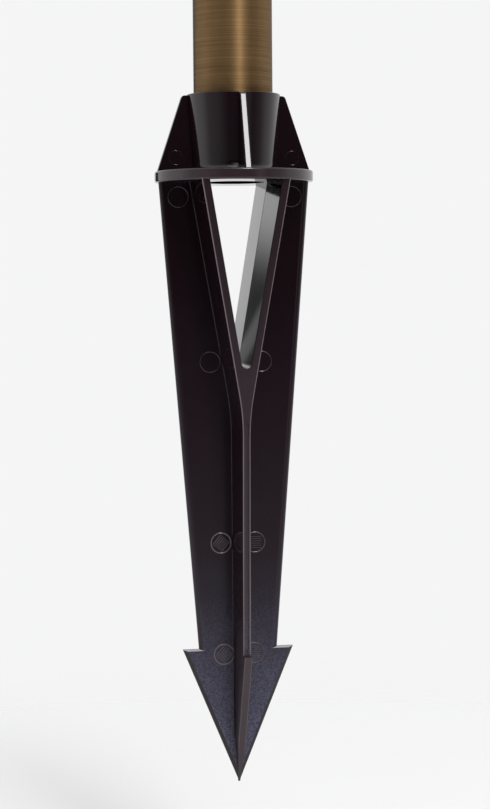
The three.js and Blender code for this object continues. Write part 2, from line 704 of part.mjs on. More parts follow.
/** The swinging snuffer, built shut over the wick and turned open about the hinge. */
function buildSnuffer() {
  const group = new THREE.Group();
  group.position.set(HINGE_X, 0, HINGE_Z);
  group.rotation.y = SNUFFER_OPEN;
  torch.add(group);

  const rim = BELL_GAP - HINGE_RISE;
  const bellTop = rim + BELL_DEPTH;
  const armBottom = bellTop + SEAT_GAP;
  const armTop = armBottom + ARM_T;
  const studHole = rod(STUD_R + SEAT_GAP, armBottom - THROUGH, armTop + THROUGH, SCREW_SIDES)
    .translate(-HINGE_X, 0, 0);
  const barrel = rodAlongY(BARREL_R, ARM_HALF);
  const pinHole = rodAlongY(PIN_R + SLIP, ARM_HALF + THROUGH, PIN_SIDES);
  const strip = plateXZ(armShape(armBottom), 2 * ARM_HALF);
  addPiece('snuffer_arm', carve([strip, barrel], [pinHole, studHole]), 'antiqueBrass', group);

  const shoulder = bellTop - (BELL_R - BELL_TOP_R);
  const bell = revolveRing([
    [BELL_R - BELL_WALL, rim],
    [BELL_R + BELL_LIP, rim],
    [BELL_R + BELL_LIP, rim + BELL_LIP],
    [BELL_R, rim + BELL_LIP_TOP],
    [BELL_R, shoulder],
    [BELL_R - BELL_BEND[0], shoulder + BELL_BEND[1]],
    [BELL_TOP_R, bellTop],
    [STUD_R + SEAT_GAP, bellTop],
    [STUD_R + SEAT_GAP, bellTop - BELL_WALL],
    [BELL_TOP_R - BELL_WALL / 2, bellTop - BELL_WALL],
    [BELL_R - BELL_WALL - BELL_INNER_BEND[0], shoulder + BELL_INNER_BEND[1]],
    [BELL_R - BELL_WALL, shoulder],
  ], BELL_SIDES);
  addPiece('snuffer_bell', bell.translate(-HINGE_X, 0, 0), 'antiqueBrass', group);

  const nutTop = bellTop - BELL_WALL - SEAT_GAP;
  const nutBottom = nutTop - SNUFFER_NUT_T;
  const knobFoot = armTop + SEAT_GAP;
  const ball = new THREE.SphereGeometry(KNOB_R, PIN_SIDES, KNOB_BANDS)
    .rotateX(Math.PI / 2)
    .translate(0, 0, knobFoot + KNOB_R);
  const foot = rod(KNOB_FOOT_R, knobFoot, knobFoot + KNOB_FOOT_H, PIN_SIDES);
  const stud = rod(STUD_R, nutBottom - STUD_PROUD, knobFoot + OVERLAP, SCREW_SIDES);
  addPiece('snuffer_knob', carve([ball, foot, stud]).translate(-HINGE_X, 0, 0), 'antiqueBrass', group);

  const hexagon = rod(SNUFFER_NUT_R, nutBottom, nutTop, HEXAGON);
  const nutBore = rod(STUD_R + SEAT_GAP, nutBottom - THROUGH, nutTop + THROUGH, SCREW_SIDES);
  addPiece('snuffer_nut', carve([hexagon], [nutBore]).translate(-HINGE_X, 0, 0), 'steel', group);
}

buildGroundSpike();
buildPost();
buildCollar();
buildCup();
buildCupFixing();
buildCanister();
buildLid();
buildBurner();
buildSnufferBracket();
buildSnuffer();

export default torch;
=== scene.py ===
"""Oil burning tiki torch: moulded ground spike, brass post and spun brass head.

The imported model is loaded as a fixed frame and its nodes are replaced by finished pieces. Sizes in the
classes are in millimetres and are turned into metres when a mesh is made. +Z is up, the origin is the
centre of the spike's flange at ground level, and the front fin of the spike points to -Y.
"""
import logging
import math
from collections.abc import Sequence
from dataclasses import dataclass
from enum import Enum

import bmesh
import bpy
from mathutils import Matrix, Vector


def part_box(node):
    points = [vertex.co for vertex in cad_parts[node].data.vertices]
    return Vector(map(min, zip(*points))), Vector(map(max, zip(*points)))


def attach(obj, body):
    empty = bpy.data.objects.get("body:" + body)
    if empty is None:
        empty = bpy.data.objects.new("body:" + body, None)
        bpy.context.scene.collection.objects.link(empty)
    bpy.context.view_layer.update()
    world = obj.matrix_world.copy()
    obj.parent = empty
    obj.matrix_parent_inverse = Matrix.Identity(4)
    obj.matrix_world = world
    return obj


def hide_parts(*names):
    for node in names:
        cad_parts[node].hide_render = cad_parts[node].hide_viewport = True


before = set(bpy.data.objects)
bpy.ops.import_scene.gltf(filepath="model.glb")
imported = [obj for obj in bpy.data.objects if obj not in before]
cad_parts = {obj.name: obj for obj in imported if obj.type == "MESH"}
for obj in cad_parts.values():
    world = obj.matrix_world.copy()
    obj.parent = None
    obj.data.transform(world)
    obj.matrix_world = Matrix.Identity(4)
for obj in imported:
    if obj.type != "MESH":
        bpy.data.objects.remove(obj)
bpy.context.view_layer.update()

LOG = logging.getLogger("tiki_torch")

MM = 0.001
SIDES = 96
SMALL_SIDES = 40
SMOOTH_ANGLE = math.radians(32)

HUB_SIDES = 160
ROUND_SIDES = 128
SOFT = 0.3
SLIP = 0.3
POST_RADIUS = 15.875
HINGE_X = 32.0
SAME_POINT = 1e-4
SAME_POINT_METRES = 1e-7
ON_AXIS = 1e-6
UNMOVED = (0.0, 0.0, 0.0)
NEARLY_STRAIGHT = 0.02
LONGEST_CUT = 0.48
PLATE_TURNS = [math.radians(angle) for angle in (6, 22, 38, 54, 72, 90)]

Point2 = tuple[float, float]
Corner = tuple[float, float, float]
Colour = tuple[float, float, float, float]
Cloud = tuple[float, float, float]
Tone = tuple[float, float, float, float]
Part = bmesh.types.BMesh
Thing = bpy.types.Object
Finish = bpy.types.Material
Node = bpy.types.Node
Socket = bpy.types.NodeSocket
Tree = bpy.types.NodeTree


class Slot(Enum):
    """Material slots that the record names."""

    PLASTIC = "spike_plastic"
    BRASS = "antique_brass"
    STEEL = "steel"
    TIN = "tinplate"
    RUBBER = "rubber"
    FIBRE = "glass_fibre"


class Body(Enum):
    """Bodies that pieces ride on."""

    SPIKE = "spike"
    POST = "post"
    CANISTER = "canister"
    GASKET = "gasket"
    BURNER = "burner"
    WICK = "wick_body"
    SNUFFER = "snuffer"


class EdgeForm(Enum):
    """How the free edge of a moulded or cut plate is finished."""

    SQUARE = "square"
    EASED = "eased"
    CHAMFER = "chamfer"
    BULLNOSE = "bullnose"

    def move(self, width: float, turn: float) -> float:
        """How far the edge has moved in at a turn of the quarter circle from its middle to the face.

        Args:
            width: Full width of the finished edge.
            turn: Turn in radians, from 0 at the middle of the edge to a right angle at the face.

        Returns:
            The distance from the outline.
        """
        if self is EdgeForm.BULLNOSE:
            return width * (1 - math.cos(turn))
        start = {EdgeForm.SQUARE: 1.0, EdgeForm.EASED: 0.8, EdgeForm.CHAMFER: 0.5}[self]
        past = math.sin(turn) - start
        return width * past / (1 - start) if past > 0 else 0.0


Edge = tuple[EdgeForm, float]
HIDDEN: Edge = (EdgeForm.SQUARE, 0.0)


# ---- levels read from the frame


def low(node: str, axis: int = 2) -> float:
    """Lowest coordinate of a CAD node along an axis, in millimetres."""
    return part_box(node)[0][axis] / MM


def high(node: str, axis: int = 2) -> float:
    """Highest coordinate of a CAD node along an axis, in millimetres."""
    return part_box(node)[1][axis] / MM


def hinge_level() -> float:
    """Height of the snuffer's hinge, in millimetres."""
    return (low("snuffer_pin") + high("snuffer_pin")) / 2


# ---- outlines


def rounded(corners: Sequence[Corner], closed: bool = True, steps: int = 4) -> list[Point2]:
    """Rounds the corners of an outline.

    Args:
        corners: Points as (u, v, radius), where the radius is the length cut back from the corner.
        closed: Whether the last corner joins the first.
        steps: How many segments each rounded corner has.

    Returns:
        The outline as (u, v) points.
    """
    points: list[Point2] = []
    count = len(corners)
    for index, (u, v, radius) in enumerate(corners):
        at_end = not closed and index in (0, count - 1)
        if radius <= 0 or at_end:
            points.append((u, v))
            continue
        corner = Vector((u, v))
        before = Vector(corners[index - 1][:2]) - corner
        after = Vector(corners[(index + 1) % count][:2]) - corner
        cut = min(radius, LONGEST_CUT * before.length, LONGEST_CUT * after.length)
        start = corner + before.normalized() * cut
        end = corner + after.normalized() * cut
        for step in range(steps + 1):
            t = step / steps
            bent = start.lerp(corner, t).lerp(corner.lerp(end, t), t)
            points.append((bent.x, bent.y))
    return points


def inset(outline: Sequence[Point2], moves: Sequence[float]) -> list[Point2]:
    """Moves the edges of a counterclockwise outline inwards.

    Args:
        outline: Corner points.
        moves: For each edge from its own point to the next, how far it moves.

    Returns:
        The moved outline, with the same number of points.
    """
    moved: list[Point2] = []
    count = len(outline)
    for index in range(count):
        here = Vector(outline[index])
        back = here - Vector(outline[index - 1])
        ahead = Vector(outline[(index + 1) % count]) - here
        first = Vector((-back.y, back.x)).normalized()
        second = Vector((-ahead.y, ahead.x)).normalized()
        turn = first.x * second.y - first.y * second.x
        if abs(turn) < NEARLY_STRAIGHT:
            shifted = here + first * max(moves[index - 1], moves[index])
        else:
            a = here.dot(first) + moves[index - 1]
            b = here.dot(second) + moves[index]
            shifted = Vector(((a * second.y - b * first.y) / turn, (b * first.x - a * second.x) / turn))
        moved.append((shifted.x, shifted.y))
    return moved


# ---- closed parts


def close_part(part: Part) -> Part:
    """Merges doubles and points every face of a closed part outwards.

    Args:
        part: The part.

    Returns:
        The same part.
    """
    bmesh.ops.remove_doubles(part, verts=part.verts, dist=SAME_POINT)
    bmesh.ops.dissolve_degenerate(part, edges=part.edges, dist=SAME_POINT / 10)
    bmesh.ops.recalc_face_normals(part, faces=part.faces)
    return part


def skin(rings: Sequence[Sequence[Vector]], loop: bool, cap: bool) -> Part:
    """Joins rings of points into a closed part.

    Args:
        rings: Rings with the same number of points each.
        loop: Whether the last ring joins the first.
        cap: Whether the first and last rings are filled.

    Returns:
        The part.
    """
    part = bmesh.new()
    made = [[part.verts.new(point) for point in ring] for ring in rings]
    pairs = list(zip(made, made[1:]))
    if loop:
        pairs.append((made[-1], made[0]))
    for first, second in pairs:
        for index in range(len(first)):
            following = (index + 1) % len(first)
            part.faces.new((first[index], first[following], second[following], second[index]))
    if cap:
        part.faces.new(list(reversed(made[0])))
        part.faces.new(made[-1])
    return close_part(part)


def lathe(profile: Sequence[Point2], sides: int = SIDES) -> Part:
    """Turns a profile of (radius, height) points about the Z axis.

    Args:
        profile: A loop clear of the axis, or a line that starts and ends on the axis.
        sides: Number of faces round the axis.

    Returns:
        The closed part.
    """
    on_axis = profile[0][0] < ON_AXIS and profile[-1][0] < ON_AXIS
    rings = []
    for radius, height in profile:
        ring = []
        for index in range(sides):
            angle = 2 * math.pi * index / sides
            ring.append(Vector((radius * math.cos(angle), radius * math.sin(angle), height)))
        rings.append(ring)
    return skin(rings, loop=not on_axis, cap=False)


def plate(outline: Sequence[Point2], edges: Sequence[Edge], half: float) -> Part:
    """Plate in the XZ plane whose free edges are finished.

    Args:
        outline: Counterclockwise (x, z) points.
        edges: Form and width of each edge, from its own point to the next.
        half: Half of the plate's thickness.

    Returns:
        The closed part.
    """
    rings = []
    for side in (-1, 1):
        for turn in PLATE_TURNS[::side]:
            ring = inset(outline, [form.move(width, turn) for form, width in edges])
            height = side * half * math.sin(turn)
            rings.append([Vector((x, height, z)) for x, z in ring])
    return skin(rings, loop=False, cap=True)


def move(part: Part, matrix: Matrix) -> Part:
    """Moves the points of a part by a matrix, and returns the part."""
    bmesh.ops.transform(part, matrix=matrix, verts=part.verts)
    return part


def about_z(degrees: float) -> Matrix:
    """Turn about the Z axis."""
    return Matrix.Rotation(math.radians(degrees), 4, "Z")


def about_y(degrees: float) -> Matrix:
    """Turn about the Y axis."""
    return Matrix.Rotation(math.radians(degrees), 4, "Y")


def shift(x: float, y: float, z: float) -> Matrix:
    """Shift in millimetres."""
    return Matrix.Translation((x, y, z))


def block(corner: Sequence[float], opposite: Sequence[float], chamfer: float) -> Part:
    """Box between two corners.

    Args:
        corner: Lowest x, y and z.
        opposite: Highest x, y and z.
        chamfer: Width of the rounding on its edges.

    Returns:
        The closed part.
    """
    part = bmesh.new()
    bmesh.ops.create_cube(part, size=1.0)
    for vert in part.verts:
        for axis in range(3):
            vert.co[axis] = corner[axis] if vert.co[axis] < 0 else opposite[axis]
    bmesh.ops.bevel(part, geom=part.edges[:], offset=chamfer, segments=3, profile=0.5, affect="EDGES",
                    clamp_overlap=True)
    return close_part(part)


def stick(radius: float, start: Vector, end: Vector, sides: int = SMALL_SIDES) -> Part:
    """Plain round cutter or pin between two points, with its edges eased.

    Args:
        radius: Radius.
        start: Centre of one end.
        end: Centre of the other end.
        sides: Number of faces round it.

    Returns:
        The closed part.
    """
    span = end - start
    ease = min(0.25, radius * 0.2)
    profile = rounded([(0, 0, 0), (radius, 0, ease), (radius, span.length, ease), (0, span.length, 0)],
                      closed=False, steps=3)
    part = lathe(profile, sides)
    turn = Vector((0, 0, 1)).rotation_difference(span).to_matrix().to_4x4()
    return move(part, Matrix.Translation(start) @ turn)


# ---- pieces


def link(thing: Thing) -> Thing:
    """Puts an object into the scene, and returns it."""
    bpy.context.scene.collection.objects.link(thing)
    return thing


def discard(thing: Thing) -> None:
    """Removes an object."""
    bpy.data.objects.remove(thing, do_unlink=True)


def mesh_object(name: str, parts: Sequence[Part]) -> Thing:
    """Makes one object in metres from parts in millimetres.

    Args:
        name: Name of the object.
        parts: Closed parts; they are used up.

    Returns:
        The object, linked to the scene.
    """
    whole = bpy.data.meshes.new(name)
    joined = bmesh.new()
    for part in parts:
        step = bpy.data.meshes.new("part")
        part.to_mesh(step)
        part.free()
        joined.from_mesh(step)
        bpy.data.meshes.remove(step)
    bmesh.ops.scale(joined, vec=(MM, MM, MM), verts=joined.verts)
    joined.to_mesh(whole)
    joined.free()
    return link(bpy.data.objects.new(name, whole))


def join_into(thing: Thing, other: Thing) -> None:
    """Adds the mesh of another object to an object's own and removes the other object.

    Args:
        thing: Object that grows.
        other: Object that is used up.
    """
    joined = bmesh.new()
    joined.from_mesh(thing.data)
    joined.from_mesh(other.data)
    joined.to_mesh(thing.data)
    joined.free()
    discard(other)


def bake_modifiers(thing: Thing) -> None:
    """Turns an object's evaluated result into its own plain mesh.

    Args:
        thing: The object; its modifiers are used up.
    """
    graph = bpy.context.evaluated_depsgraph_get()
    graph.update()
    made = bpy.data.meshes.new_from_object(thing.evaluated_get(graph), depsgraph=graph)
    thing.modifiers.clear()
    thing.data = made


def cut_away(thing: Thing, cutters: Sequence[Part]) -> None:
    """Cuts closed parts out of an object, one after another.

    Args:
        thing: Object that is cut.
        cutters: Parts in millimetres; they are used up.
    """
    for part in cutters:
        cutter = mesh_object("cutter", [part])
        boolean = thing.modifiers.new("cut", "BOOLEAN")
        boolean.operation = "DIFFERENCE"
        boolean.solver = "EXACT"
        boolean.object = cutter
        bake_modifiers(thing)
        discard(cutter)


def smooth(thing: Thing, crisp: bool) -> None:
    """Shades an object smooth with sharp edges past an angle.

    Args:
        thing: The object.
        crisp: Whether its broad faces keep their own normals right up to their edges.
    """
    thing.data.shade_smooth()
    thing.data.set_sharp_from_angle(angle=SMOOTH_ANGLE)
    if crisp:
        weighted = thing.modifiers.new("crisp", "WEIGHTED_NORMAL")
        weighted.keep_sharp = True
        weighted.weight = 100
        bake_modifiers(thing)


def settle(thing: Thing, finish: Finish, body: Body, slot: Slot, *nodes: str,
           crisp: bool = False) -> Thing:
    """Dresses a piece and ties it to the frame.

    Args:
        thing: The finished piece.
        finish: Its material.
        body: Body that it rides on.
        slot: Material slot of the record; not used.
        nodes: CAD nodes that it stands for.
        crisp: Whether its broad faces keep their own normals.

    Returns:
        The piece.
    """
    thing.data.materials.clear()
    thing.data.materials.append(finish)
    smooth(thing, crisp)
    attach(thing, body.value)
    if nodes:
        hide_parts(*nodes)
    LOG.info("%s: %d faces on %s", thing.name, len(thing.data.polygons), body.value)
    return thing


# ---- node graphs


class Graph:
    """Small builder for the nodes of a material, a group or a geometry tree."""

    mix_inputs: tuple[int, int] = (6, 7)
    mix_output: int = 2

    def __init__(self, tree: Tree) -> None:
        """Keeps the tree that the nodes go into."""
        self.tree = tree

    def add(self, kind: str, **settings: object) -> Node:
        """Adds a node.

        Args:
            kind: Type of the node.
            settings: Properties that are set on it.

        Returns:
            The node.
        """
        node = self.tree.nodes.new(kind)
        for name, value in settings.items():
            setattr(node, name, value)
        return node

    def feed(self, socket: Socket, value: object) -> None:
        """Links a socket into an input, or sets the input to a plain value.

        Args:
            socket: The input.
            value: A socket or a plain value.
        """
        if isinstance(value, Socket):
            self.tree.links.new(value, socket)
        else:
            socket.default_value = value

    def made(self, kind: str, *values: object, output: int = 0, **settings: object) -> Socket:
        """Adds a node, feeds its first inputs in order and gives one output.

        Args:
            kind: Type of the node.
            values: Sockets or plain values for its first inputs.
            output: Which output is given.
            settings: Properties that are set on it.

        Returns:
            The output.
        """
        node = self.add(kind, **settings)
        for socket, value in zip(node.inputs, values):
            self.feed(socket, value)
        return node.outputs[output]

    def math(self, operation: str, *values: object, clamp: bool = False) -> Socket:
        """Result of a Math node."""
        return self.made("ShaderNodeMath", *values, operation=operation, use_clamp=clamp)

    def times(self, first: object, second: object) -> Socket:
        """Product of two values."""
        return self.math("MULTIPLY", first, second)

    def centred(self, value: object, size: float) -> Socket:
        """A value of 0 to 1 moved to lie evenly about 0, then scaled."""
        return self.times(self.math("SUBTRACT", value, 0.5), size)

    def vector(self, operation: str, *values: object) -> Socket:
        """Scalar result of a Vector Math node."""
        return self.made("ShaderNodeVectorMath", *values, output=1, operation=operation)

    def spread(self, value: object, start: float, end: float, to_start: float = 0.0,
               to_end: float = 1.0) -> Socket:
        """Maps a value smoothly from the range of start to end to that of to_start to to_end, clamped."""
        return self.made("ShaderNodeMapRange", value, start, end, to_start, to_end,
                         interpolation_type="SMOOTHSTEP")

    def mix(self, share: object, first: object, second: object) -> Socket:
        """Mixes two colours.

        Args:
            share: Share of the second colour.
            first: First colour.
            second: Second colour.

        Returns:
            The mixed colour.
        """
        node = self.add("ShaderNodeMix", data_type="RGBA")
        self.feed(node.inputs[0], share)
        for index, colour in zip(self.mix_inputs, (first, second)):
            self.feed(node.inputs[index], colour)
        return node.outputs[self.mix_output]

    def noise(self, vector: object, scale: object, detail: float = 3.0,
              roughness: float = 0.55) -> Socket:
        """Value of a noise texture, whose second input is not used."""
        return self.made("ShaderNodeTexNoise", vector, 0.0, scale, detail, roughness)

    def scaled(self, vector: object, scale: Sequence[float]) -> Socket:
        """Coordinate stretched along each axis, neither shifted nor turned."""
        return self.made("ShaderNodeMapping", vector, UNMOVED, UNMOVED, scale)

    def place(self) -> Socket:
        """Object coordinate."""
        return self.add("ShaderNodeTexCoord").outputs["Object"]

    def normal(self) -> Socket:
        """Normal of the surface."""
        return self.add("ShaderNodeNewGeometry").outputs["Normal"]

    def split(self, vector: object) -> Sequence[Socket]:
        """Splits a vector.

        Args:
            vector: The vector.

        Returns:
            Its x, y and z sockets.
        """
        node = self.add("ShaderNodeSeparateXYZ")
        self.feed(node.inputs[0], vector)
        return node.outputs

    def combine(self, x: object = 0.0, y: object = 0.0, z: object = 0.0) -> Socket:
        """Vector of three values."""
        return self.made("ShaderNodeCombineXYZ", x, y, z)

    def set(self, node: Node, **values: object) -> None:
        """Feeds named inputs of a node; underscores stand for spaces."""
        for name, value in values.items():
            self.feed(node.inputs[name.replace("_", " ")], value)

    def use(self, group: Tree, **values: object) -> Sequence[Socket]:
        """Places a shader group.

        Args:
            group: The group.
            values: Values of its inputs.

        Returns:
            Its outputs.
        """
        node = self.add("ShaderNodeGroup", node_tree=group)
        self.set(node, **values)
        return node.outputs


def new_group(name: str, inputs: dict[str, float], outputs: Sequence[str]) -> tuple[
        Graph, Sequence[Socket], Sequence[Socket]]:
    """Starts a shader group of plain values.

    Args:
        name: Name of the group.
        inputs: Input names with their default values.
        outputs: Output names.

    Returns:
        The graph, the sockets that give its inputs and the sockets that take its outputs.
    """
    tree = bpy.data.node_groups.new(name, "ShaderNodeTree")
    for entry, value in inputs.items():
        socket = tree.interface.new_socket(name=entry, in_out="INPUT", socket_type="NodeSocketFloat")
        socket.default_value = value
    for entry in outputs:
        tree.interface.new_socket(name=entry, in_out="OUTPUT", socket_type="NodeSocketFloat")
    graph = Graph(tree)
    return graph, graph.add("NodeGroupInput").outputs, graph.add("NodeGroupOutput").inputs


class SurfaceEffects:
    """Shader groups that more than one finish uses. Ranges are where a mask starts and where it is full."""

    bevel_samples: int = 4
    edge_turn: Point2 = (0.995, 0.9)
    wear_patches: Point2 = (0.42, 0.6)
    wear_detail: float = 4.0
    fine_detail: float = 2.0
    coarse_share: float = 0.11
    coarse_height: float = 0.35
    cell_share: float = 0.55
    dot_size: float = 0.4
    band_share: float = 0.21
    line_wander: float = 0.25
    band_wander: float = 0.12
    line_roughness: float = 0.6
    band_height: float = 0.3
    band_streak: float = 0.45
    dust_slope: Point2 = (0.25, 0.95)
    dust_patches: Point2 = (0.35, 0.75)
    dust_cloud: Point2 = (5.0, 0.65)

    def __init__(self) -> None:
        """Builds every group once."""
        self.edge_wear = self.make_edge_wear()
        self.grain = self.make_grain()
        self.brushing = self.make_brushing()
        self.dust = self.make_dust()

    def make_edge_wear(self) -> Tree:
        """Mask that is 1 on worn outer edges.

        Returns:
            The group.
        """
        graph, given, result = new_group("Edge wear", {"Width": 0.0006, "Scale": 900.0}, ["Mask"])
        round_edge = graph.made("ShaderNodeBevel", given["Width"], samples=self.bevel_samples)
        edge = graph.spread(graph.vector("DOT_PRODUCT", round_edge, graph.normal()), *self.edge_turn)
        patch = graph.spread(graph.noise(graph.place(), given["Scale"], self.wear_detail), *self.wear_patches)
        graph.feed(result["Mask"], graph.times(edge, patch))
        return graph.tree

    def make_grain(self) -> Tree:
        """Fine moulded texture: a height for bump and a speckle mask.

        Returns:
            The group.
        """
        graph, given, result = new_group("Moulded grain", {"Scale": 1600.0, "Density": 0.5},
                                         ["Height", "Speckle"])
        place = graph.place()
        fine = graph.noise(place, given["Scale"], self.fine_detail)
        coarse = graph.noise(place, graph.times(given["Scale"], self.coarse_share))
        cells = graph.add("ShaderNodeTexVoronoi")
        graph.set(cells, Vector=place, Scale=graph.times(given["Scale"], self.cell_share))
        dot = graph.math("LESS_THAN", cells.outputs["Distance"], graph.times(given["Density"], self.dot_size))
        graph.feed(result["Height"], graph.math("MULTIPLY_ADD", coarse, self.coarse_height, fine))
        graph.feed(result["Speckle"], dot)
        return graph.tree

    def make_brushing(self) -> Tree:
        """Lines that run round the Z axis: a height for bump and a streak value.

        Returns:
            The group.
        """
        graph, given, result = new_group("Turned brushing", {"Lines": 3600.0}, ["Height", "Streak"])
        x, y, z = graph.split(graph.place())
        turn = graph.math("ARCTAN2", y, x)
        ways = [graph.math(operation, turn) for operation in ("COSINE", "SINE")]
        lines = graph.times(z, given["Lines"])
        bands = graph.times(lines, self.band_share)
        narrow = graph.combine(*(graph.times(way, self.line_wander) for way in ways), lines)
        wide = graph.combine(*(graph.times(way, self.band_wander) for way in ways), bands)
        fine = graph.noise(narrow, 1.0, self.fine_detail, self.line_roughness)
        broad = graph.noise(wide, 1.0, 1.0)
        streak = graph.math("ADD", graph.centred(broad, self.band_streak), graph.centred(fine, 1.0))
        graph.feed(result["Height"], graph.math("MULTIPLY_ADD", broad, self.band_height, fine))
        graph.feed(result["Streak"], streak)
        return graph.tree

    def make_dust(self) -> Tree:
        """Mask of dust that lies on faces that look up.

        Returns:
            The group.
        """
        graph, given, result = new_group("Dust film", {"Scale": 60.0, "Amount": 0.3}, ["Mask"])
        upward = graph.spread(graph.split(graph.normal())[2], *self.dust_slope)
        cloud = graph.noise(graph.place(), given["Scale"], *self.dust_cloud)
        lying = graph.times(upward, graph.spread(cloud, *self.dust_patches))
        graph.feed(result["Mask"], graph.times(lying, given["Amount"]))
        return graph.tree


EFFECTS = SurfaceEffects()


def start_material(name: str) -> tuple[Finish, Graph, Node]:
    """Starts a node material.

    Args:
        name: Name of the material.

    Returns:
        The material, its graph and its Principled BSDF.
    """
    material = bpy.data.materials.new(name)
    material.use_nodes = True
    material.node_tree.nodes.clear()
    graph = Graph(material.node_tree)
    shader = graph.add("ShaderNodeBsdfPrincipled")
    graph.set(graph.add("ShaderNodeOutputMaterial"), Surface=shader.outputs[0])
    return material, graph, shader


def add_bump(graph: Graph, shader: Node, height: object, strength: float, distance: float) -> None:
    """Feeds a Bump node into a shader's normal.

    Args:
        graph: Graph of the material.
        shader: Its Principled BSDF.
        height: Height socket.
        strength: Strength of the bump.
        distance: Distance of the bump in metres.
    """
    bump = graph.add("ShaderNodeBump")
    graph.set(bump, Strength=strength, Distance=distance, Height=height)
    graph.set(shader, Normal=bump.outputs[0])


@dataclass(frozen=True)
class MouldedPlastic:
    """Dark maroon moulded plastic, glossy at the hub and dulled on its broad faces towards the tip.

    Ranges are where a mask starts and where it is full, and levels are heights in metres. A cloud is the
    scale, detail and roughness of a noise. A tone maps a noise from a range to the two values after it.
    """

    hub_colour: Colour = (0.0072, 0.0020, 0.0038, 1.0)
    blade_colour: Colour = (0.0095, 0.0026, 0.0058, 1.0)
    scuff_colour: Colour = (0.0840, 0.0860, 0.1420, 1.0)
    speck_colour: Colour = (0.0900, 0.0860, 0.1150, 1.0)
    wear_colour: Colour = (0.0420, 0.0280, 0.0310, 1.0)
    # Paler tones laid on by a face attribute: besides rub, they carry painted highlights on the fin bevels
    # and barb chamfers, and painted sheen on the fins' front and rear faces.
    rub_and_highlight_colour: Colour = (0.1000, 0.0700, 0.0740, 1.0)
    chalk_and_highlight_colour: Colour = (0.4200, 0.3900, 0.4100, 1.0)
    haze_colour: Colour = (0.0150, 0.0125, 0.0190, 1.0)
    hub_roughness: float = 0.11
    blade_roughness: float = 0.17
    tip_roughness: float = 0.52
    unevenness: float = 0.06
    grain_scale: float = 1500.0
    speck_density: float = 0.6
    speck_amount: float = 0.10
    broad_faces: Point2 = (0.92, 0.99)
    buried_level: Point2 = (-0.012, -0.110)
    scuffed_level: Point2 = (-0.150, -0.228)
    level_drift: float = 0.05
    cloud: Cloud = (26.0, 4.0, 0.6)
    haze_patches: Point2 = (0.50, 0.72)
    haze_amount: float = 0.6
    mottle: Cloud = (1150.0, 3.0, 0.75)
    scuff_tone: Tone = (0.38, 0.64, 0.30, 1.0)
    rub_and_highlight_tone: Tone = (0.25, 0.60, 0.72, 1.0)
    wear_width: float = 0.0005
    wear_scale: float = 700.0
    wear_share: Point2 = (0.45, 0.10)
    relief_share: Point2 = (0.9, 0.06)
    relief_strength: float = 0.45
    relief_depth: float = 0.00008
    ior: float = 1.5

    def build(self) -> Finish:
        """Builds the material.

        Returns:
            The material.
        """
        material, graph, shader = start_material("moulded_plastic")
        place = graph.place()
        cloud = graph.noise(place, *self.cloud)
        mottle = graph.noise(place, *self.mottle)
        broad = graph.spread(graph.math("ABSOLUTE", graph.split(graph.normal())[1]), *self.broad_faces)
        level = graph.math("ADD", graph.split(place)[2], graph.centred(cloud, self.level_drift))
        buried = graph.spread(level, *self.buried_level)
        scuffed = graph.spread(level, *self.scuffed_level)
        grain = graph.use(EFFECTS.grain, Scale=self.grain_scale, Density=self.speck_density)
        wear = graph.use(EFFECTS.edge_wear, Width=self.wear_width, Scale=self.wear_scale)["Mask"]
        # Face attribute of paler tones: rub with painted highlight and painted sheen.
        rub = graph.add("ShaderNodeAttribute", attribute_name="rub").outputs["Fac"]
        body = graph.mix(buried, self.hub_colour, self.blade_colour)
        patches = graph.times(graph.spread(cloud, *self.haze_patches), graph.times(broad, self.haze_amount))
        hazed = graph.mix(graph.times(patches, buried), body, self.haze_colour)
        scuff = graph.times(graph.times(scuffed, broad), graph.spread(mottle, *self.scuff_tone))
        dulled = graph.mix(scuff, hazed, self.scuff_colour)
        specks = graph.times(grain["Speckle"], graph.times(scuffed, self.speck_amount))
        speckled = graph.mix(specks, dulled, self.speck_colour)
        edge = graph.times(wear, graph.math("MULTIPLY_ADD", buried, *self.wear_share))
        worn = graph.mix(edge, speckled, self.wear_colour)
        # Paler tone, then chalk-white: partly rub, partly painted highlight on bevels and barb chamfers and
        # painted sheen on front faces.
        rubbed = graph.math("MULTIPLY", rub, graph.spread(mottle, *self.rub_and_highlight_tone), clamp=True)
        chalk_and_highlight = graph.math("SUBTRACT", rub, 1.0, clamp=True)
        pale = graph.mix(rubbed, worn, self.rub_and_highlight_colour)
        rough = graph.math("ADD", graph.spread(buried, 0.0, 1.0, self.hub_roughness, self.blade_roughness),
                           graph.spread(scuffed, 0.0, 1.0, 0.0, self.tip_roughness - self.blade_roughness))
        uneven = graph.centred(cloud, self.unevenness)
        graph.set(shader, Base_Color=graph.mix(chalk_and_highlight, pale, self.chalk_and_highlight_colour), IOR=self.ior,
                  Roughness=graph.math("ADD", rough, uneven))
        relief = graph.times(grain["Height"], graph.math("MULTIPLY_ADD", scuffed, *self.relief_share))
        add_bump(graph, shader, relief, self.relief_strength, self.relief_depth)
        return material


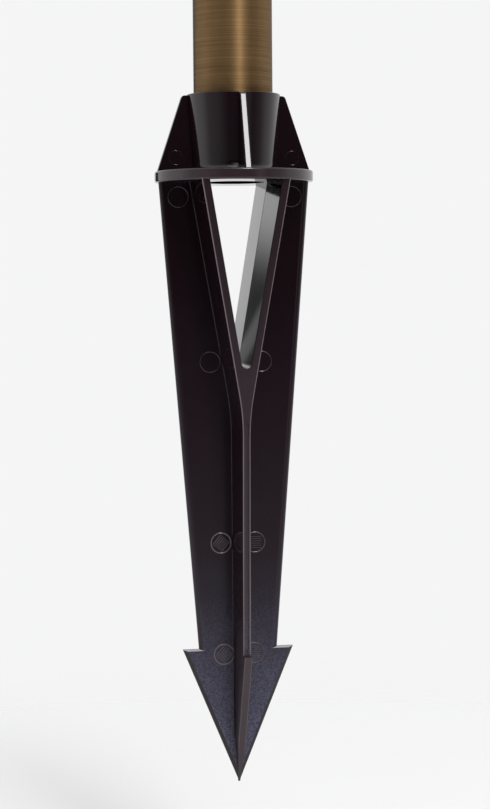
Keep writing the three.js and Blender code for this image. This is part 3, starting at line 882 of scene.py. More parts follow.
@dataclass(frozen=True)
class BrushedBrass:
    """Bronzed brass with fine lines turned round the post's axis, under a thin lacquer."""

    name: str = "antique_brass"
    light: Colour = (0.325, 0.203, 0.090, 1.0)
    dark: Colour = (0.162, 0.095, 0.040, 1.0)
    tarnish: Colour = (0.080, 0.050, 0.024, 1.0)
    bright: Colour = (0.60, 0.42, 0.20, 1.0)
    dust_colour: Colour = (0.34, 0.30, 0.24, 1.0)
    specular_tint: Colour = (0.50, 0.52, 0.54, 1.0)
    roughness: float = 0.55
    streak_roughness: float = 0.10
    tarnish_roughness: float = 0.25
    lines: float = 3600.0
    line_depth: float = 0.45
    line_distance: float = 0.00004
    streak_range: Point2 = (-0.35, 0.35)
    cloud: Cloud = (34.0, 5.0, 0.6)
    tarnish_patches: Point2 = (0.5, 0.78)
    tarnish_amount: float = 0.35
    wear_width: float = 0.0007
    wear_scale: float = 500.0
    wear_amount: float = 0.55
    dust_scale: float = 70.0
    dust_amount: float = 0.18
    dust_cover: float = 0.8
    lacquer: float = 0.12
    lacquer_roughness: float = 0.16
    anisotropy: float = 0.95
    brush_turn: float = 0.25

    def build(self) -> Finish:
        """Builds the material.

        Returns:
            The material.
        """
        material, graph, shader = start_material(self.name)
        brushing = graph.use(EFFECTS.brushing, Lines=self.lines)
        streak = brushing["Streak"]
        cloud = graph.noise(graph.place(), *self.cloud)
        lined = graph.spread(streak, *self.streak_range)
        tone = graph.math("ADD", lined, graph.centred(cloud, 1.0), clamp=True)
        metal = graph.mix(tone, self.dark, self.light)
        aged = graph.times(graph.spread(cloud, *self.tarnish_patches), self.tarnish_amount)
        toned = graph.mix(aged, metal, self.tarnish)
        wear = graph.use(EFFECTS.edge_wear, Width=self.wear_width, Scale=self.wear_scale)["Mask"]
        rubbed = graph.mix(graph.times(wear, self.wear_amount), toned, self.bright)
        dust = graph.use(EFFECTS.dust, Scale=self.dust_scale, Amount=self.dust_amount)["Mask"]
        rough = graph.math("MULTIPLY_ADD", streak, self.streak_roughness, self.roughness)
        add_bump(graph, shader, brushing["Height"], self.line_depth, self.line_distance)
        graph.set(shader, Base_Color=graph.mix(dust, rubbed, self.dust_colour),
                  Metallic=graph.math("SUBTRACT", 1.0, graph.times(dust, self.dust_cover)),
                  Roughness=graph.math("ADD", rough, graph.times(aged, self.tarnish_roughness)),
                  Tangent=graph.made("ShaderNodeTangent", direction_type="RADIAL", axis="Z"),
                  Anisotropic=self.anisotropy, Anisotropic_Rotation=self.brush_turn,
                  Specular_Tint=self.specular_tint, Coat_Weight=self.lacquer,
                  Coat_Roughness=self.lacquer_roughness)
        return material


@dataclass(frozen=True)
class SheetMetal:
    """Plated steel or tinplate with a light grain, stains and worn edges."""

    name: str = "zinc_steel"
    light: Colour = (0.56, 0.57, 0.58, 1.0)
    dark: Colour = (0.34, 0.345, 0.35, 1.0)
    stain: Colour = (0.20, 0.16, 0.12, 1.0)
    bright: Colour = (0.78, 0.78, 0.77, 1.0)
    roughness: float = 0.22
    unevenness: float = 0.22
    cloud: Cloud = (70.0, 5.0, 0.6)
    spangle: Point2 = (0.3, 0.7)
    stain_patches: Point2 = (0.52, 0.74)
    stain_amount: float = 0.3
    grain_scale: float = 900.0
    grain_density: float = 0.4
    grain_depth: Point2 = (0.3, 0.00005)
    wear_width: float = 0.0004
    wear_scale: float = 600.0
    wear_amount: float = 0.5

    def build(self) -> Finish:
        """Builds the material.

        Returns:
            The material.
        """
        material, graph, shader = start_material(self.name)
        grain = graph.use(EFFECTS.grain, Scale=self.grain_scale, Density=self.grain_density)
        cloud = graph.noise(graph.place(), *self.cloud)
        metal = graph.mix(graph.spread(cloud, *self.spangle), self.dark, self.light)
        aged = graph.times(graph.spread(cloud, *self.stain_patches), self.stain_amount)
        stained = graph.mix(aged, metal, self.stain)
        wear = graph.use(EFFECTS.edge_wear, Width=self.wear_width, Scale=self.wear_scale)["Mask"]
        worn = graph.mix(graph.times(wear, self.wear_amount), stained, self.bright)
        rough = graph.math("MULTIPLY_ADD", cloud, self.unevenness, self.roughness)
        graph.set(shader, Base_Color=worn, Metallic=1.0, Roughness=rough)
        add_bump(graph, shader, grain["Height"], *self.grain_depth)
        return material


@dataclass(frozen=True)
class SoftRubber:
    """Black rubber with a dull bloom."""

    black: Colour = (0.012, 0.012, 0.013, 1.0)
    bloomed: Colour = (0.035, 0.034, 0.033, 1.0)
    cloud: Point2 = (160.0, 4.0)
    bloom_patches: Point2 = (0.4, 0.7)
    bloom_roughness: Point2 = (0.15, 0.68)
    grain_scale: float = 2200.0
    grain_density: float = 0.5
    grain_depth: Point2 = (0.4, 0.0001)

    def build(self) -> Finish:
        """Builds the material.

        Returns:
            The material.
        """
        material, graph, shader = start_material("gasket_rubber")
        grain = graph.use(EFFECTS.grain, Scale=self.grain_scale, Density=self.grain_density)
        bloom = graph.spread(graph.noise(graph.place(), *self.cloud), *self.bloom_patches)
        graph.set(shader, Base_Color=graph.mix(bloom, self.black, self.bloomed),
                  Roughness=graph.math("MULTIPLY_ADD", bloom, *self.bloom_roughness))
        add_bump(graph, shader, grain["Height"], *self.grain_depth)
        return material


@dataclass(frozen=True)
class GlassBraid:
    """Glass fibre yarn, cream below and charred at the burning end."""

    char_start: float
    char_end: float
    yarn: Colour = (0.66, 0.61, 0.48, 1.0)
    shadow: Colour = (0.40, 0.35, 0.25, 1.0)
    char: Colour = (0.018, 0.015, 0.013, 1.0)
    fibre_stretch: Corner = (5200.0, 5200.0, 900.0)
    fibre_noise: Cloud = (1.0, 3.0, 0.7)
    fibre_tone: Point2 = (0.3, 0.7)
    fibre_depth: Point2 = (0.6, 0.0002)
    patch: Point2 = (420.0, 4.0)
    char_drift: float = 0.006
    char_roughness: Point2 = (0.08, 0.82)

    def build(self) -> Finish:
        """Builds the material.

        Returns:
            The material.
        """
        material, graph, shader = start_material("glass_fibre")
        place = graph.place()
        fibres = graph.noise(graph.scaled(place, self.fibre_stretch), *self.fibre_noise)
        yarn = graph.mix(graph.spread(fibres, *self.fibre_tone), self.shadow, self.yarn)
        drift = graph.centred(graph.noise(place, *self.patch), self.char_drift)
        level = graph.math("ADD", graph.split(place)[2], drift)
        burnt = graph.spread(level, self.char_start, self.char_end)
        graph.set(shader, Base_Color=graph.mix(burnt, yarn, self.char),
                  Roughness=graph.math("MULTIPLY_ADD", burnt, *self.char_roughness))
        add_bump(graph, shader, fibres, *self.fibre_depth)
        return material


# ---- geometry trees


class TreeInput(Enum):
    """Socket kinds of a geometry tree's inputs."""

    WHOLE = "NodeSocketInt"
    LENGTH = "NodeSocketFloat"
    FINISH = "NodeSocketMaterial"
    THING = "NodeSocketObject"


class GeometryTree:
    """A geometry tree with named inputs that ends in Realize Instances and Set Material."""

    def __init__(self, name: str, inputs: dict[str, TreeInput]) -> None:
        """Starts the tree.

        Args:
            name: Name of the tree.
            inputs: Input names with their kinds; Geometry and Finish are added.
        """
        tree = bpy.data.node_groups.new(name, "GeometryNodeTree")
        for way in ("INPUT", "OUTPUT"):
            tree.interface.new_socket(name="Geometry", in_out=way, socket_type="NodeSocketGeometry")
        self.sockets: dict[str, str] = {}
        for entry, kind in {**inputs, "Finish": TreeInput.FINISH}.items():
            socket = tree.interface.new_socket(name=entry, in_out="INPUT", socket_type=kind.value)
            self.sockets[entry] = socket.identifier
        self.graph = Graph(tree)
        self.given = self.graph.add("NodeGroupInput").outputs

    def node(self, kind: str, inputs: dict[str, object], **settings: object) -> Socket:
        """Adds a node.

        Args:
            kind: Type of the node, without its common prefix.
            inputs: Sockets or plain values by input name.
            settings: Properties that are set on it.

        Returns:
            Its first output.
        """
        made = self.graph.add(f"GeometryNode{kind}", **settings)
        for name, value in inputs.items():
            self.graph.feed(made.inputs[name], value)
        return made.outputs[0]

    def circle(self, radius: object, sides: int) -> Socket:
        """Circle curve."""
        return self.node("CurvePrimitiveCircle", {"Resolution": sides, "Radius": radius})

    def part(self) -> Socket:
        """Reads the object that is given as Part.

        Returns:
            Its geometry.
        """
        info = self.graph.add("GeometryNodeObjectInfo")
        self.graph.feed(info.inputs["Object"], self.given["Part"])
        return info.outputs["Geometry"]

    def at_places(self, instance: Socket) -> Socket:
        """Copies of a geometry at the given points."""
        return self.node("InstanceOnPoints", {"Points": self.given["Geometry"], "Instance": instance})

    def fan(self, instance: Socket, count: Socket) -> Socket:
        """Copies a geometry round the Z axis at even turns.

        Args:
            instance: The geometry.
            count: Number of copies.

        Returns:
            The copies.
        """
        graph = self.graph
        line = self.node("MeshLine", {"Count": count, "Offset": UNMOVED}, mode="OFFSET")
        index = graph.made("GeometryNodeInputIndex")
        turn = graph.math("DIVIDE", graph.times(index, 2 * math.pi), count)
        return self.node("InstanceOnPoints", {"Points": line, "Instance": instance,
                                              "Rotation": graph.combine(z=turn)})

    def end(self, geometry: Socket) -> None:
        """Closes the tree.

        Args:
            geometry: The finished geometry.
        """
        real = self.node("RealizeInstances", {"Geometry": geometry})
        dressed = self.node("SetMaterial", {"Geometry": real, "Material": self.given["Finish"]})
        self.graph.feed(self.graph.add("NodeGroupOutput").inputs[0], dressed)

    def run(self, name: str, places: Sequence[Vector], **values: object) -> Thing:
        """Runs the tree on a set of points and bakes the result.

        Args:
            name: Name of the new object.
            places: Points in millimetres that the tree starts from.
            values: Values of the named inputs; underscores stand for spaces.

        Returns:
            The object with a plain mesh.
        """
        start = bpy.data.meshes.new(name)
        start.from_pydata([point * MM for point in places], [], [])
        thing = link(bpy.data.objects.new(name, start))
        modifier = thing.modifiers.new("build", "NODES")
        modifier.node_group = self.graph.tree
        for entry, value in values.items():
            modifier[self.sockets[entry.replace("_", " ")]] = value
        bake_modifiers(thing)
        made = bmesh.new()
        made.from_mesh(thing.data)
        bmesh.ops.remove_doubles(made, verts=made.verts, dist=SAME_POINT_METRES)
        made.to_mesh(thing.data)
        made.free()
        return thing


@dataclass(frozen=True)
class EjectorMarks:
    """Round marks that stand slightly proud of a face that looks to -Y, some with slanting ridges."""

    ring_sides: int = 40
    lip_sides: int = 8
    ridge_length: float = 1.25
    ridge_depth: float = 0.8
    ridge_width: float = 0.9
    comb_half: float = 0.55

    def tree(self) -> GeometryTree:
        """Builds the tree; ridge sizes are shares of the mark's radius and of its lip.

        Returns:
            The tree.
        """
        tree = GeometryTree("Ejector marks", {"Radius": TreeInput.LENGTH, "Lip": TreeInput.LENGTH,
                                              "Ridges": TreeInput.WHOLE, "Slant": TreeInput.LENGTH})
        graph = tree.graph
        radius = tree.given["Radius"]
        lip = tree.given["Lip"]
        ring = tree.node("CurveToMesh", {"Curve": tree.circle(radius, self.ring_sides),
                                         "Profile Curve": tree.circle(lip, self.lip_sides)})
        size = graph.combine(graph.times(radius, self.ridge_length), graph.times(lip, self.ridge_depth),
                             graph.times(lip, self.ridge_width))
        ends = [graph.combine(y=graph.times(radius, share)) for share in (-self.comb_half, self.comb_half)]
        line = tree.node("MeshLine", {"Count": tree.given["Ridges"], "Start Location": ends[0],
                                      "Offset": ends[1]}, mode="END_POINTS")
        ridge = tree.node("MeshCube", {"Size": size})
        comb = tree.node("InstanceOnPoints", {"Points": line, "Instance": ridge})
        slant = graph.combine(z=tree.given["Slant"])
        mark = graph.add("GeometryNodeJoinGeometry")
        for piece in (ring, tree.node("Transform", {"Geometry": comb, "Rotation": slant})):
            graph.feed(mark.inputs[0], piece)
        upright = tree.node("Transform", {"Geometry": mark.outputs[0], "Rotation": (math.pi / 2, 0.0, 0.0)})
        tree.end(tree.at_places(upright))
        return tree


def ring_array_tree() -> GeometryTree:
    """Copies of one fastener or rib, evenly turned about the Z axis.

    Returns:
        The tree.
    """
    tree = GeometryTree("Ring array", {"Count": TreeInput.WHOLE, "Part": TreeInput.THING})
    tree.end(tree.fan(tree.part(), tree.given["Count"]))
    return tree


def place_array_tree() -> GeometryTree:
    """Copies of one fastener at given points.

    Returns:
        The tree.
    """
    tree = GeometryTree("Place array", {"Part": TreeInput.THING})
    tree.end(tree.at_places(tree.part()))
    return tree


@dataclass(frozen=True)
class Braid:
    """Yarns wound both ways round a rope; one hand lies a little further out than the other."""

    yarn_sides: int = 6
    turn_steps: int = 16
    outer_rise: float = 0.00018

    def tree(self) -> GeometryTree:
        """Builds the tree.

        Returns:
            The tree.
        """
        tree = GeometryTree("Braid", {"Yarns": TreeInput.WHOLE, "Radius": TreeInput.LENGTH,
                                      "Length": TreeInput.LENGTH, "Turns": TreeInput.LENGTH,
                                      "Yarn radius": TreeInput.LENGTH})
        graph = tree.graph
        both = graph.add("GeometryNodeJoinGeometry")
        section = tree.circle(tree.given["Yarn radius"], self.yarn_sides)
        for left_hand, rise in ((False, self.outer_rise), (True, 0.0)):
            reach = graph.math("ADD", tree.given["Radius"], rise)
            spiral = tree.node("CurveSpiral", {"Resolution": self.turn_steps, "Reverse": left_hand,
                                               "Rotations": tree.given["Turns"], "Start Radius": reach,
                                               "End Radius": reach, "Height": tree.given["Length"]})
            yarn = tree.node("CurveToMesh", {"Curve": spiral, "Profile Curve": section, "Fill Caps": True})
            graph.feed(both.inputs[0], tree.fan(yarn, tree.given["Yarns"]))
        tree.end(tree.at_places(both.outputs[0]))
        return tree


# ---- ground spike


@dataclass(frozen=True)
class MarkGroup:
    """Ejector marks of one kind: (x, z) places, sizes, ridges and how much paler they are painted, as rub
    with painted highlight.
    """

    name: str
    places: tuple[Point2, ...]
    radius: float
    lip: float
    ridges: int
    slant: float
    rub: float


@dataclass
class GroundSpike:
    """Moulded spike: socket hub with four gussets, side fins, and a forked front and rear fin."""

    finish: Finish
    flange_radius: float = 31.9
    flange_top: float = 4.5
    flange_rounding: float = 0.9
    socket_top: float = 35.0
    cup_mouth: float = 18.95
    cup_foot: float = 16.85
    socket_fillet: float = 3.4
    seat_height: float = 15.0
    drain_radius: float = 12.5
    gusset_half: float = 1.35
    gusset_top: float = 21.0
    gusset_foot: float = 31.1
    gusset_drop: float = 0.4
    gusset_bury: float = 1.0
    gusset_corner: float = 1.6
    web_half: float = 1.55
    barb_height: float = -189.0
    barb_reach: float = 22.8
    tip_height: float = -244.3
    side_top: float = 30.8
    side_low: float = 16.2
    side_rounding: float = 2.7
    barb_bevel: float = 0.6
    head_bevel: float = 1.5
    front_top: float = 26.7
    front_low: float = 19.2
    front_tip: float = 0.5
    leg_outer: float = 17.65
    leg_inner: float = 14.5
    window_bottom: float = -73.9
    window_radius: float = 2.0
    window_inside: float = 1.9
    window_steps: int = 14
    neck_top: float = -85.0
    neck_bottom: float = -101.0
    neck_steps: int = 6
    head_points: int = 3
    leg_middle: float = -40.0
    web_middle: float = -140.0
    root_draft: float = 0.6
    window_draft: float = 0.65
    root_fillet: float = 0.25
    parting_half: float = 0.35
    parting_depth: float = 0.55
    blade_top: float = 0.7
    tip_taper: float = -226.0
    tip_half: float = 0.35
    fin_bevel: float = 0.42
    fin_bevel_angle: float = math.radians(40)
    fin_clear: float = 6.0
    groove_half: float = 0.62
    groove_depth: float = 0.6
    groove_top: float = -95.5
    groove_bottom: float = -187.4
    rim_margin: float = 0.4
    rim_depth: float = 0.6
    barb_margin: float = 1.2
    face_margin: float = 0.8
    tip_clear: float = 6.0
    upward: float = 0.4
    # Tilt past which a barb top face gets the chalk-white painted highlight.
    highlight_tilt: float = 0.3
    bevel_tilt: float = 0.2
    square_on: float = 0.9
    # Paler tones laid on by face: a tone on the flange rim, a chalk-white painted highlight on the barbs'
    # chamfered top edges with a rub tone on their flat tops, painted highlights on the fin bevels, and a rub
    # tone with painted sheen on the front and rear faces.
    rim_rub: float = 0.26
    barb_rub_and_highlight: Point2 = (1.90, 0.40)
    bevel_highlight: Point2 = (1.12, 0.70)
    face_rub_and_sheen: Point2 = (0.16, 0.24)
    # The last value of each mark group is how much paler its marks are painted: rub tone with painted
    # highlight.
    marks: tuple[MarkGroup, ...] = (
        MarkGroup("marks_blade", ((23.2, -5.6), (-23.0, -5.8), (10.4, -72.1), (-10.7, -72.1)), 4.1, 0.22, 0,
                  0.0, 0.30),
        MarkGroup("marks_left", ((-6.9, -145.7), (-6.0, -191.4)), 4.1, 0.26, 6, math.radians(50), 1.14),
        MarkGroup("marks_right", ((7.1, -145.7), (6.4, -191.2)), 4.1, 0.22, 6, 0.0, 1.00),
        MarkGroup("marks_gusset", ((-23.8, 9.8), (23.8, 9.8)), 2.8, 0.07, 0, 0.0, 0.05),
    )

    def hub(self) -> Part:
        """Flange, tapered socket cup with a filleted foot, bore and drain.

        Returns:
            The part.
        """
        bore = POST_RADIUS + SLIP
        return lathe(rounded([
            (self.drain_radius, 0, SOFT), (self.flange_radius, 0, self.flange_rounding),
            (self.flange_radius, self.flange_top, self.flange_rounding),
            (self.cup_foot, self.flange_top, self.socket_fillet),
            (self.cup_mouth, self.socket_top, 0.55), (bore, self.socket_top, 0.5),
            (bore, self.seat_height, 0.1), (self.drain_radius, self.seat_height, SOFT),
        ], steps=5), sides=HUB_SIDES)

    def gussets(self) -> list[Part]:
        """Four gussets between the socket cup and the flange.

        Returns:
            The parts.
        """
        rise = (self.cup_mouth - self.cup_foot) / (self.socket_top - self.flange_top)
        top = self.socket_top - self.gusset_drop
        inner_top = self.cup_foot + rise * (top - self.flange_top) - self.gusset_bury / 2
        inner_foot = self.cup_foot - self.gusset_drop
        outline = rounded([
            (inner_foot, self.flange_top - self.gusset_bury, 0),
            (self.gusset_foot, self.flange_top - self.gusset_bury, 0),
            (self.gusset_foot, self.flange_top + 0.2, 0),
            (self.gusset_top, top, self.gusset_corner), (inner_top, top, 0),
        ])
        edges = [HIDDEN, HIDDEN] + [(EdgeForm.EASED, 0.16)] * (len(outline) - 3) + [HIDDEN]
        made = []
        for turn in (0, 90, 180, 270):
            gusset = plate(outline, edges, self.gusset_half)
            made.append(move(gusset, about_z(turn)))
        return made

    def half_width(self, z: float) -> float:
        """Half width of the fork's outer outline.

        Args:
            z: Height.

        Returns:
            The half width at that height.
        """
        span = -(self.neck_top + self.neck_bottom) / 2
        lean = (self.leg_outer - self.web_half) / span
        if z >= self.neck_top:
            return self.leg_outer + lean * z
        if z >= self.neck_bottom:
            t = (self.neck_top - z) / (self.neck_top - self.neck_bottom)
            neck = self.leg_outer + lean * self.neck_top
            return neck * (1 - t) ** 2 + self.web_half * (1 - (1 - t) ** 2)
        if z >= self.tip_taper:
            return self.web_half
        t = (self.tip_taper - z) / (self.tip_taper - self.tip_height)
        return self.web_half + (self.tip_half - self.web_half) * t

    def reach(self, z: float, head: bool) -> float:
        """Reach of the front fin from the middle.

        Args:
            z: Height.
            head: Whether it is taken on the arrow head rather than on the blade.

        Returns:
            The reach at that height.
        """
        if not head:
            return self.front_top + (self.front_low - self.front_top) * z / self.barb_height
        t = (self.barb_height - z) / (self.barb_height - self.tip_height)
        return self.barb_reach + (self.front_tip - self.barb_reach) * t

    def neck_levels(self) -> list[float]:
        """Even heights down the curved neck, where the legs meet."""
        fall = self.neck_bottom - self.neck_top
        return [self.neck_top + fall * step / self.neck_steps for step in range(self.neck_steps + 1)]

    def side_fins(self) -> list[Part]:
        """Two side fins with soft edges, barbs and an arrow head.

        Returns:
            The parts.
        """
        outline = [
            ((self.leg_outer + self.leg_inner) / 2, self.blade_top),
            (self.window_inside, self.window_bottom), (0.0, self.neck_bottom), (0.0, self.tip_height),
            (self.barb_reach, self.barb_height), (self.side_low, self.barb_height),
            (self.side_top, self.blade_top),
        ]
        edges = [HIDDEN, HIDDEN, HIDDEN, (EdgeForm.CHAMFER, self.head_bevel),
                 (EdgeForm.CHAMFER, self.barb_bevel), (EdgeForm.BULLNOSE, self.side_rounding), HIDDEN]
        return [move(plate(outline, edges, self.web_half), about_z(turn)) for turn in (0, 180)]

    def root_fillets(self) -> list[Part]:
        """Small hollow fillets where the front and rear fins meet the side fins.

        Returns:
            The parts.
        """
        levels = [self.blade_top, self.leg_middle, *self.neck_levels(), self.barb_height, self.tip_taper]
        face = self.web_half
        size = self.root_fillet
        section = [(-0.6, face - 0.4), (size, face - 0.05), (0.35 * size, face + 0.30 * size),
                   (-0.02, face + size)]
        made = []
        for side_x in (-1, 1):
            for side_y in (-1, 1):
                rings = []
                for z in levels:
                    wall = self.half_width(z) + self.root_draft
                    rings.append([Vector((side_x * (wall + x), side_y * y, z)) for x, y in section])
                made.append(skin(rings, loop=False, cap=True))
        return made

    def rub_and_highlight_amount(self, centre: Vector, normal: Vector) -> float:
        """How much paler a face is painted: rub tones, painted highlights on the barb chamfers and fin
        bevels, and painted sheen on the front and rear faces.

        Args:
            centre: Centre of the face.
            normal: Its normal.

        Returns:
            0 for a clean face, 1 for the full paler tone, and more for chalk-white, which on the barb
            chamfers and bevels is a painted highlight.
        """
        x, y, z = centre
        amount = 0.0
        beside = self.rim_margin < z < self.flange_top - self.rim_margin
        if beside and math.hypot(x, y) > self.flange_radius - self.rim_depth:
            amount = self.rim_rub
        across = normal.x * math.copysign(1.0, x)
        along = abs(normal.y)
        level = abs(z - self.barb_height) < self.barb_margin
        # Barb tops: chalk-white painted highlight on the chamfered top edges, a light rub tone on the flat
        # tops.
        if level and normal.z > self.upward and abs(x) > self.side_low:
            amount = self.barb_rub_and_highlight[0] if along > self.highlight_tilt else self.barb_rub_and_highlight[1]
        inside = abs(y) < self.reach(z, z < self.barb_height) - self.face_margin
        if z > 0 or inside or z < self.tip_height + self.tip_clear:
            return amount
        # Fin bevels: paler painted highlight lines. Front and rear faces: a light rub tone with painted
        # sheen.
        if across > self.bevel_tilt and along > self.bevel_tilt:
            return self.bevel_highlight[0] if z > self.barb_height else self.bevel_highlight[1]
        if along > self.square_on:
            return self.face_rub_and_sheen[0] if z > self.neck_bottom else self.face_rub_and_sheen[1]
        return amount

    def fork_path(self) -> list[tuple[float, float, float, float, float]]:
        """Outline of the fork as (x, z, reach, growth in x, growth in z) towards the parting plane.

        Returns:
            The counterclockwise outline, from the top of the left leg down to the tip and round.
        """
        blade = [self.blade_top, self.leg_middle, *self.neck_levels(), self.web_middle, self.barb_height]
        head = [self.barb_height, self.tip_taper, self.tip_height]
        left = []
        for z, on_head in [(z, False) for z in blade] + [(z, True) for z in head]:
            reach = self.reach(z, on_head)
            grow = self.root_draft * min(1.0, reach / self.front_low)
            left.append((-self.half_width(z), z, reach, -grow, 0.0))
        right = [(-x, z, reach, -grow, rise) for x, z, reach, grow, rise in reversed(left)]
        return left + right + self.window_path()

    def window_path(self) -> list[tuple[float, float, float, float, float]]:
        """Outline of the window, in the same form as the fork's.

        Returns:
            The outline, from the top of the right leg round the foot of the window to the left leg.
        """
        centre = self.window_bottom + self.window_radius
        top = self.reach(0, False)
        inner = [(self.leg_inner, self.blade_top, top, -1.0, 0.0)]
        for step in range(self.window_steps + 1):
            turn = math.pi * step / self.window_steps
            across = math.cos(turn)
            down = math.sin(turn)
            z = centre - self.window_radius * down
            inner.append((self.window_radius * across, z, self.reach(z, False), -across, down))
        inner.append((-self.leg_inner, self.blade_top, top, 1.0, 0.0))
        draft = self.window_draft
        return [(x, z, reach, dx * draft, dz * draft) for x, z, reach, dx, dz in inner]

    def fork(self) -> Part:
        """Front and rear fins: two drafted legs that meet in one web, with a parting line in the window.

        Returns:
            The part.
        """
        path = self.fork_path()
        outer_count = len(path) - len(self.window_path())
        part = bmesh.new()
        stations = []
        for fraction in (-1.0, -0.5, 0.0, 0.5, 1.0):
            at_end = abs(fraction) == 1.0
            ring = []
            for index, (x, z, reach, dx, dz) in enumerate(path):
                share = 0.0 if at_end else 1.0
                if fraction == 0.0 and index >= outer_count:
                    share = 1.0 - self.parting_depth / self.window_draft
                y = reach * fraction if at_end else 2 * fraction * self.parting_half
                ring.append(part.verts.new((x + dx * share, y, z + dz * share)))
            stations.append(ring)
        for first, second in zip(stations, stations[1:]):
            for index in range(len(path)):
                following = (index + 1) % len(path)
                part.faces.new((first[index], first[following], second[following], second[index]))
        ledge = outer_count // 2 - self.head_points - 1
        last = outer_count - 1 - ledge
        for ring in (stations[0], stations[-1]):
            part.faces.new(ring[:ledge + 1] + ring[last:])
            part.faces.new([ring[ledge], ring[ledge + 1], ring[last - 1], ring[last]])
            part.faces.new(ring[ledge + 1:last])
        close_part(part)
        edges = []
        for edge in part.edges:
            level = all(vert.co.z > self.blade_top - 0.2 for vert in edge.verts)
            far = all(abs(vert.co.y) > self.fin_clear for vert in edge.verts)
            if far and not level and edge.calc_face_angle(0.0) > self.fin_bevel_angle:
                edges.append(edge)
        bmesh.ops.bevel(part, geom=edges, offset=self.fin_bevel, segments=2, profile=0.5, affect="EDGES",
                        clamp_overlap=False)
        return close_part(part)

    def edge_groove(self, side: int) -> Part:
        """Cutter for the shallow groove along the front or rear edge of the web.

        Args:
            side: -1 for the front edge, 1 for the rear edge.

        Returns:
            The cutter.
        """
        half = self.groove_half
        outline = rounded([(-half, self.groove_bottom, 0.6), (half, self.groove_bottom, 0.6),
                           (half, self.groove_top, 0.6), (-half, self.groove_top, 0.6)])
        rings = []
        for depth in (-self.groove_depth, 2.0):
            rings.append([Vector((x, side * (self.reach(z, False) + depth), z)) for x, z in outline])
        return skin(rings, loop=False, cap=True)

    def build(self) -> list[Thing]:
        """Builds the spike and its ejector marks.

        Returns:
            The pieces.
        """
        fork = mesh_object("spike_fork", [self.fork()])
        cut_away(fork, [self.edge_groove(-1), self.edge_groove(1)])
        shell = mesh_object("spike_body", [self.hub(), *self.gussets(), *self.side_fins(),
                                           *self.root_fillets()])
        join_into(shell, fork)
        # Face attribute of paler tones: rub with painted highlights on bevels and barb chamfers and painted
        # sheen on front faces.
        layer = shell.data.attributes.new("rub", "FLOAT", "FACE")
        for polygon, entry in zip(shell.data.polygons, layer.data):
            entry.value = self.rub_and_highlight_amount(polygon.center / MM, polygon.normal)
        made = [settle(shell, self.finish, Body.SPIKE, Slot.PLASTIC, "ground_spike", crisp=True)]
        tree = EjectorMarks().tree()
        for group in self.marks:
            face = -self.web_half if group.places[0][1] < 0 else -self.gusset_half
            marks = tree.run(group.name, [Vector((x, face, z)) for x, z in group.places],
                             Radius=group.radius * MM, Lip=group.lip * MM, Ridges=group.ridges,
                             Slant=group.slant, Finish=self.finish)
            # Paler tone of the marks: rub with painted highlight.
            layer = marks.data.attributes.new("rub", "FLOAT", "FACE")
            layer.data.foreach_set("value", [group.rub] * len(marks.data.polygons))
            made.append(settle(marks, self.finish, Body.SPIKE, Slot.PLASTIC))
        return made


# ---- post, collar and cup


@dataclass
class Post:
    """Brass tube with eased ends."""

    finish: Finish
    wall: float = 1.6

    def build(self) -> list[Thing]:
        """Builds the post.

        Returns:
            The pieces.
        """
        bottom = low("post_tube")
        top = high("post_tube")
        inner = POST_RADIUS - self.wall
        tube = lathe(rounded([(inner, bottom, 0.3), (POST_RADIUS, bottom, 0.4), (POST_RADIUS, top, 0.4),
                              (inner, top, 0.3)], steps=3), sides=ROUND_SIDES)
        return [settle(mesh_object("post_shell", [tube]), self.finish, Body.POST, Slot.BRASS, "post_tube")]


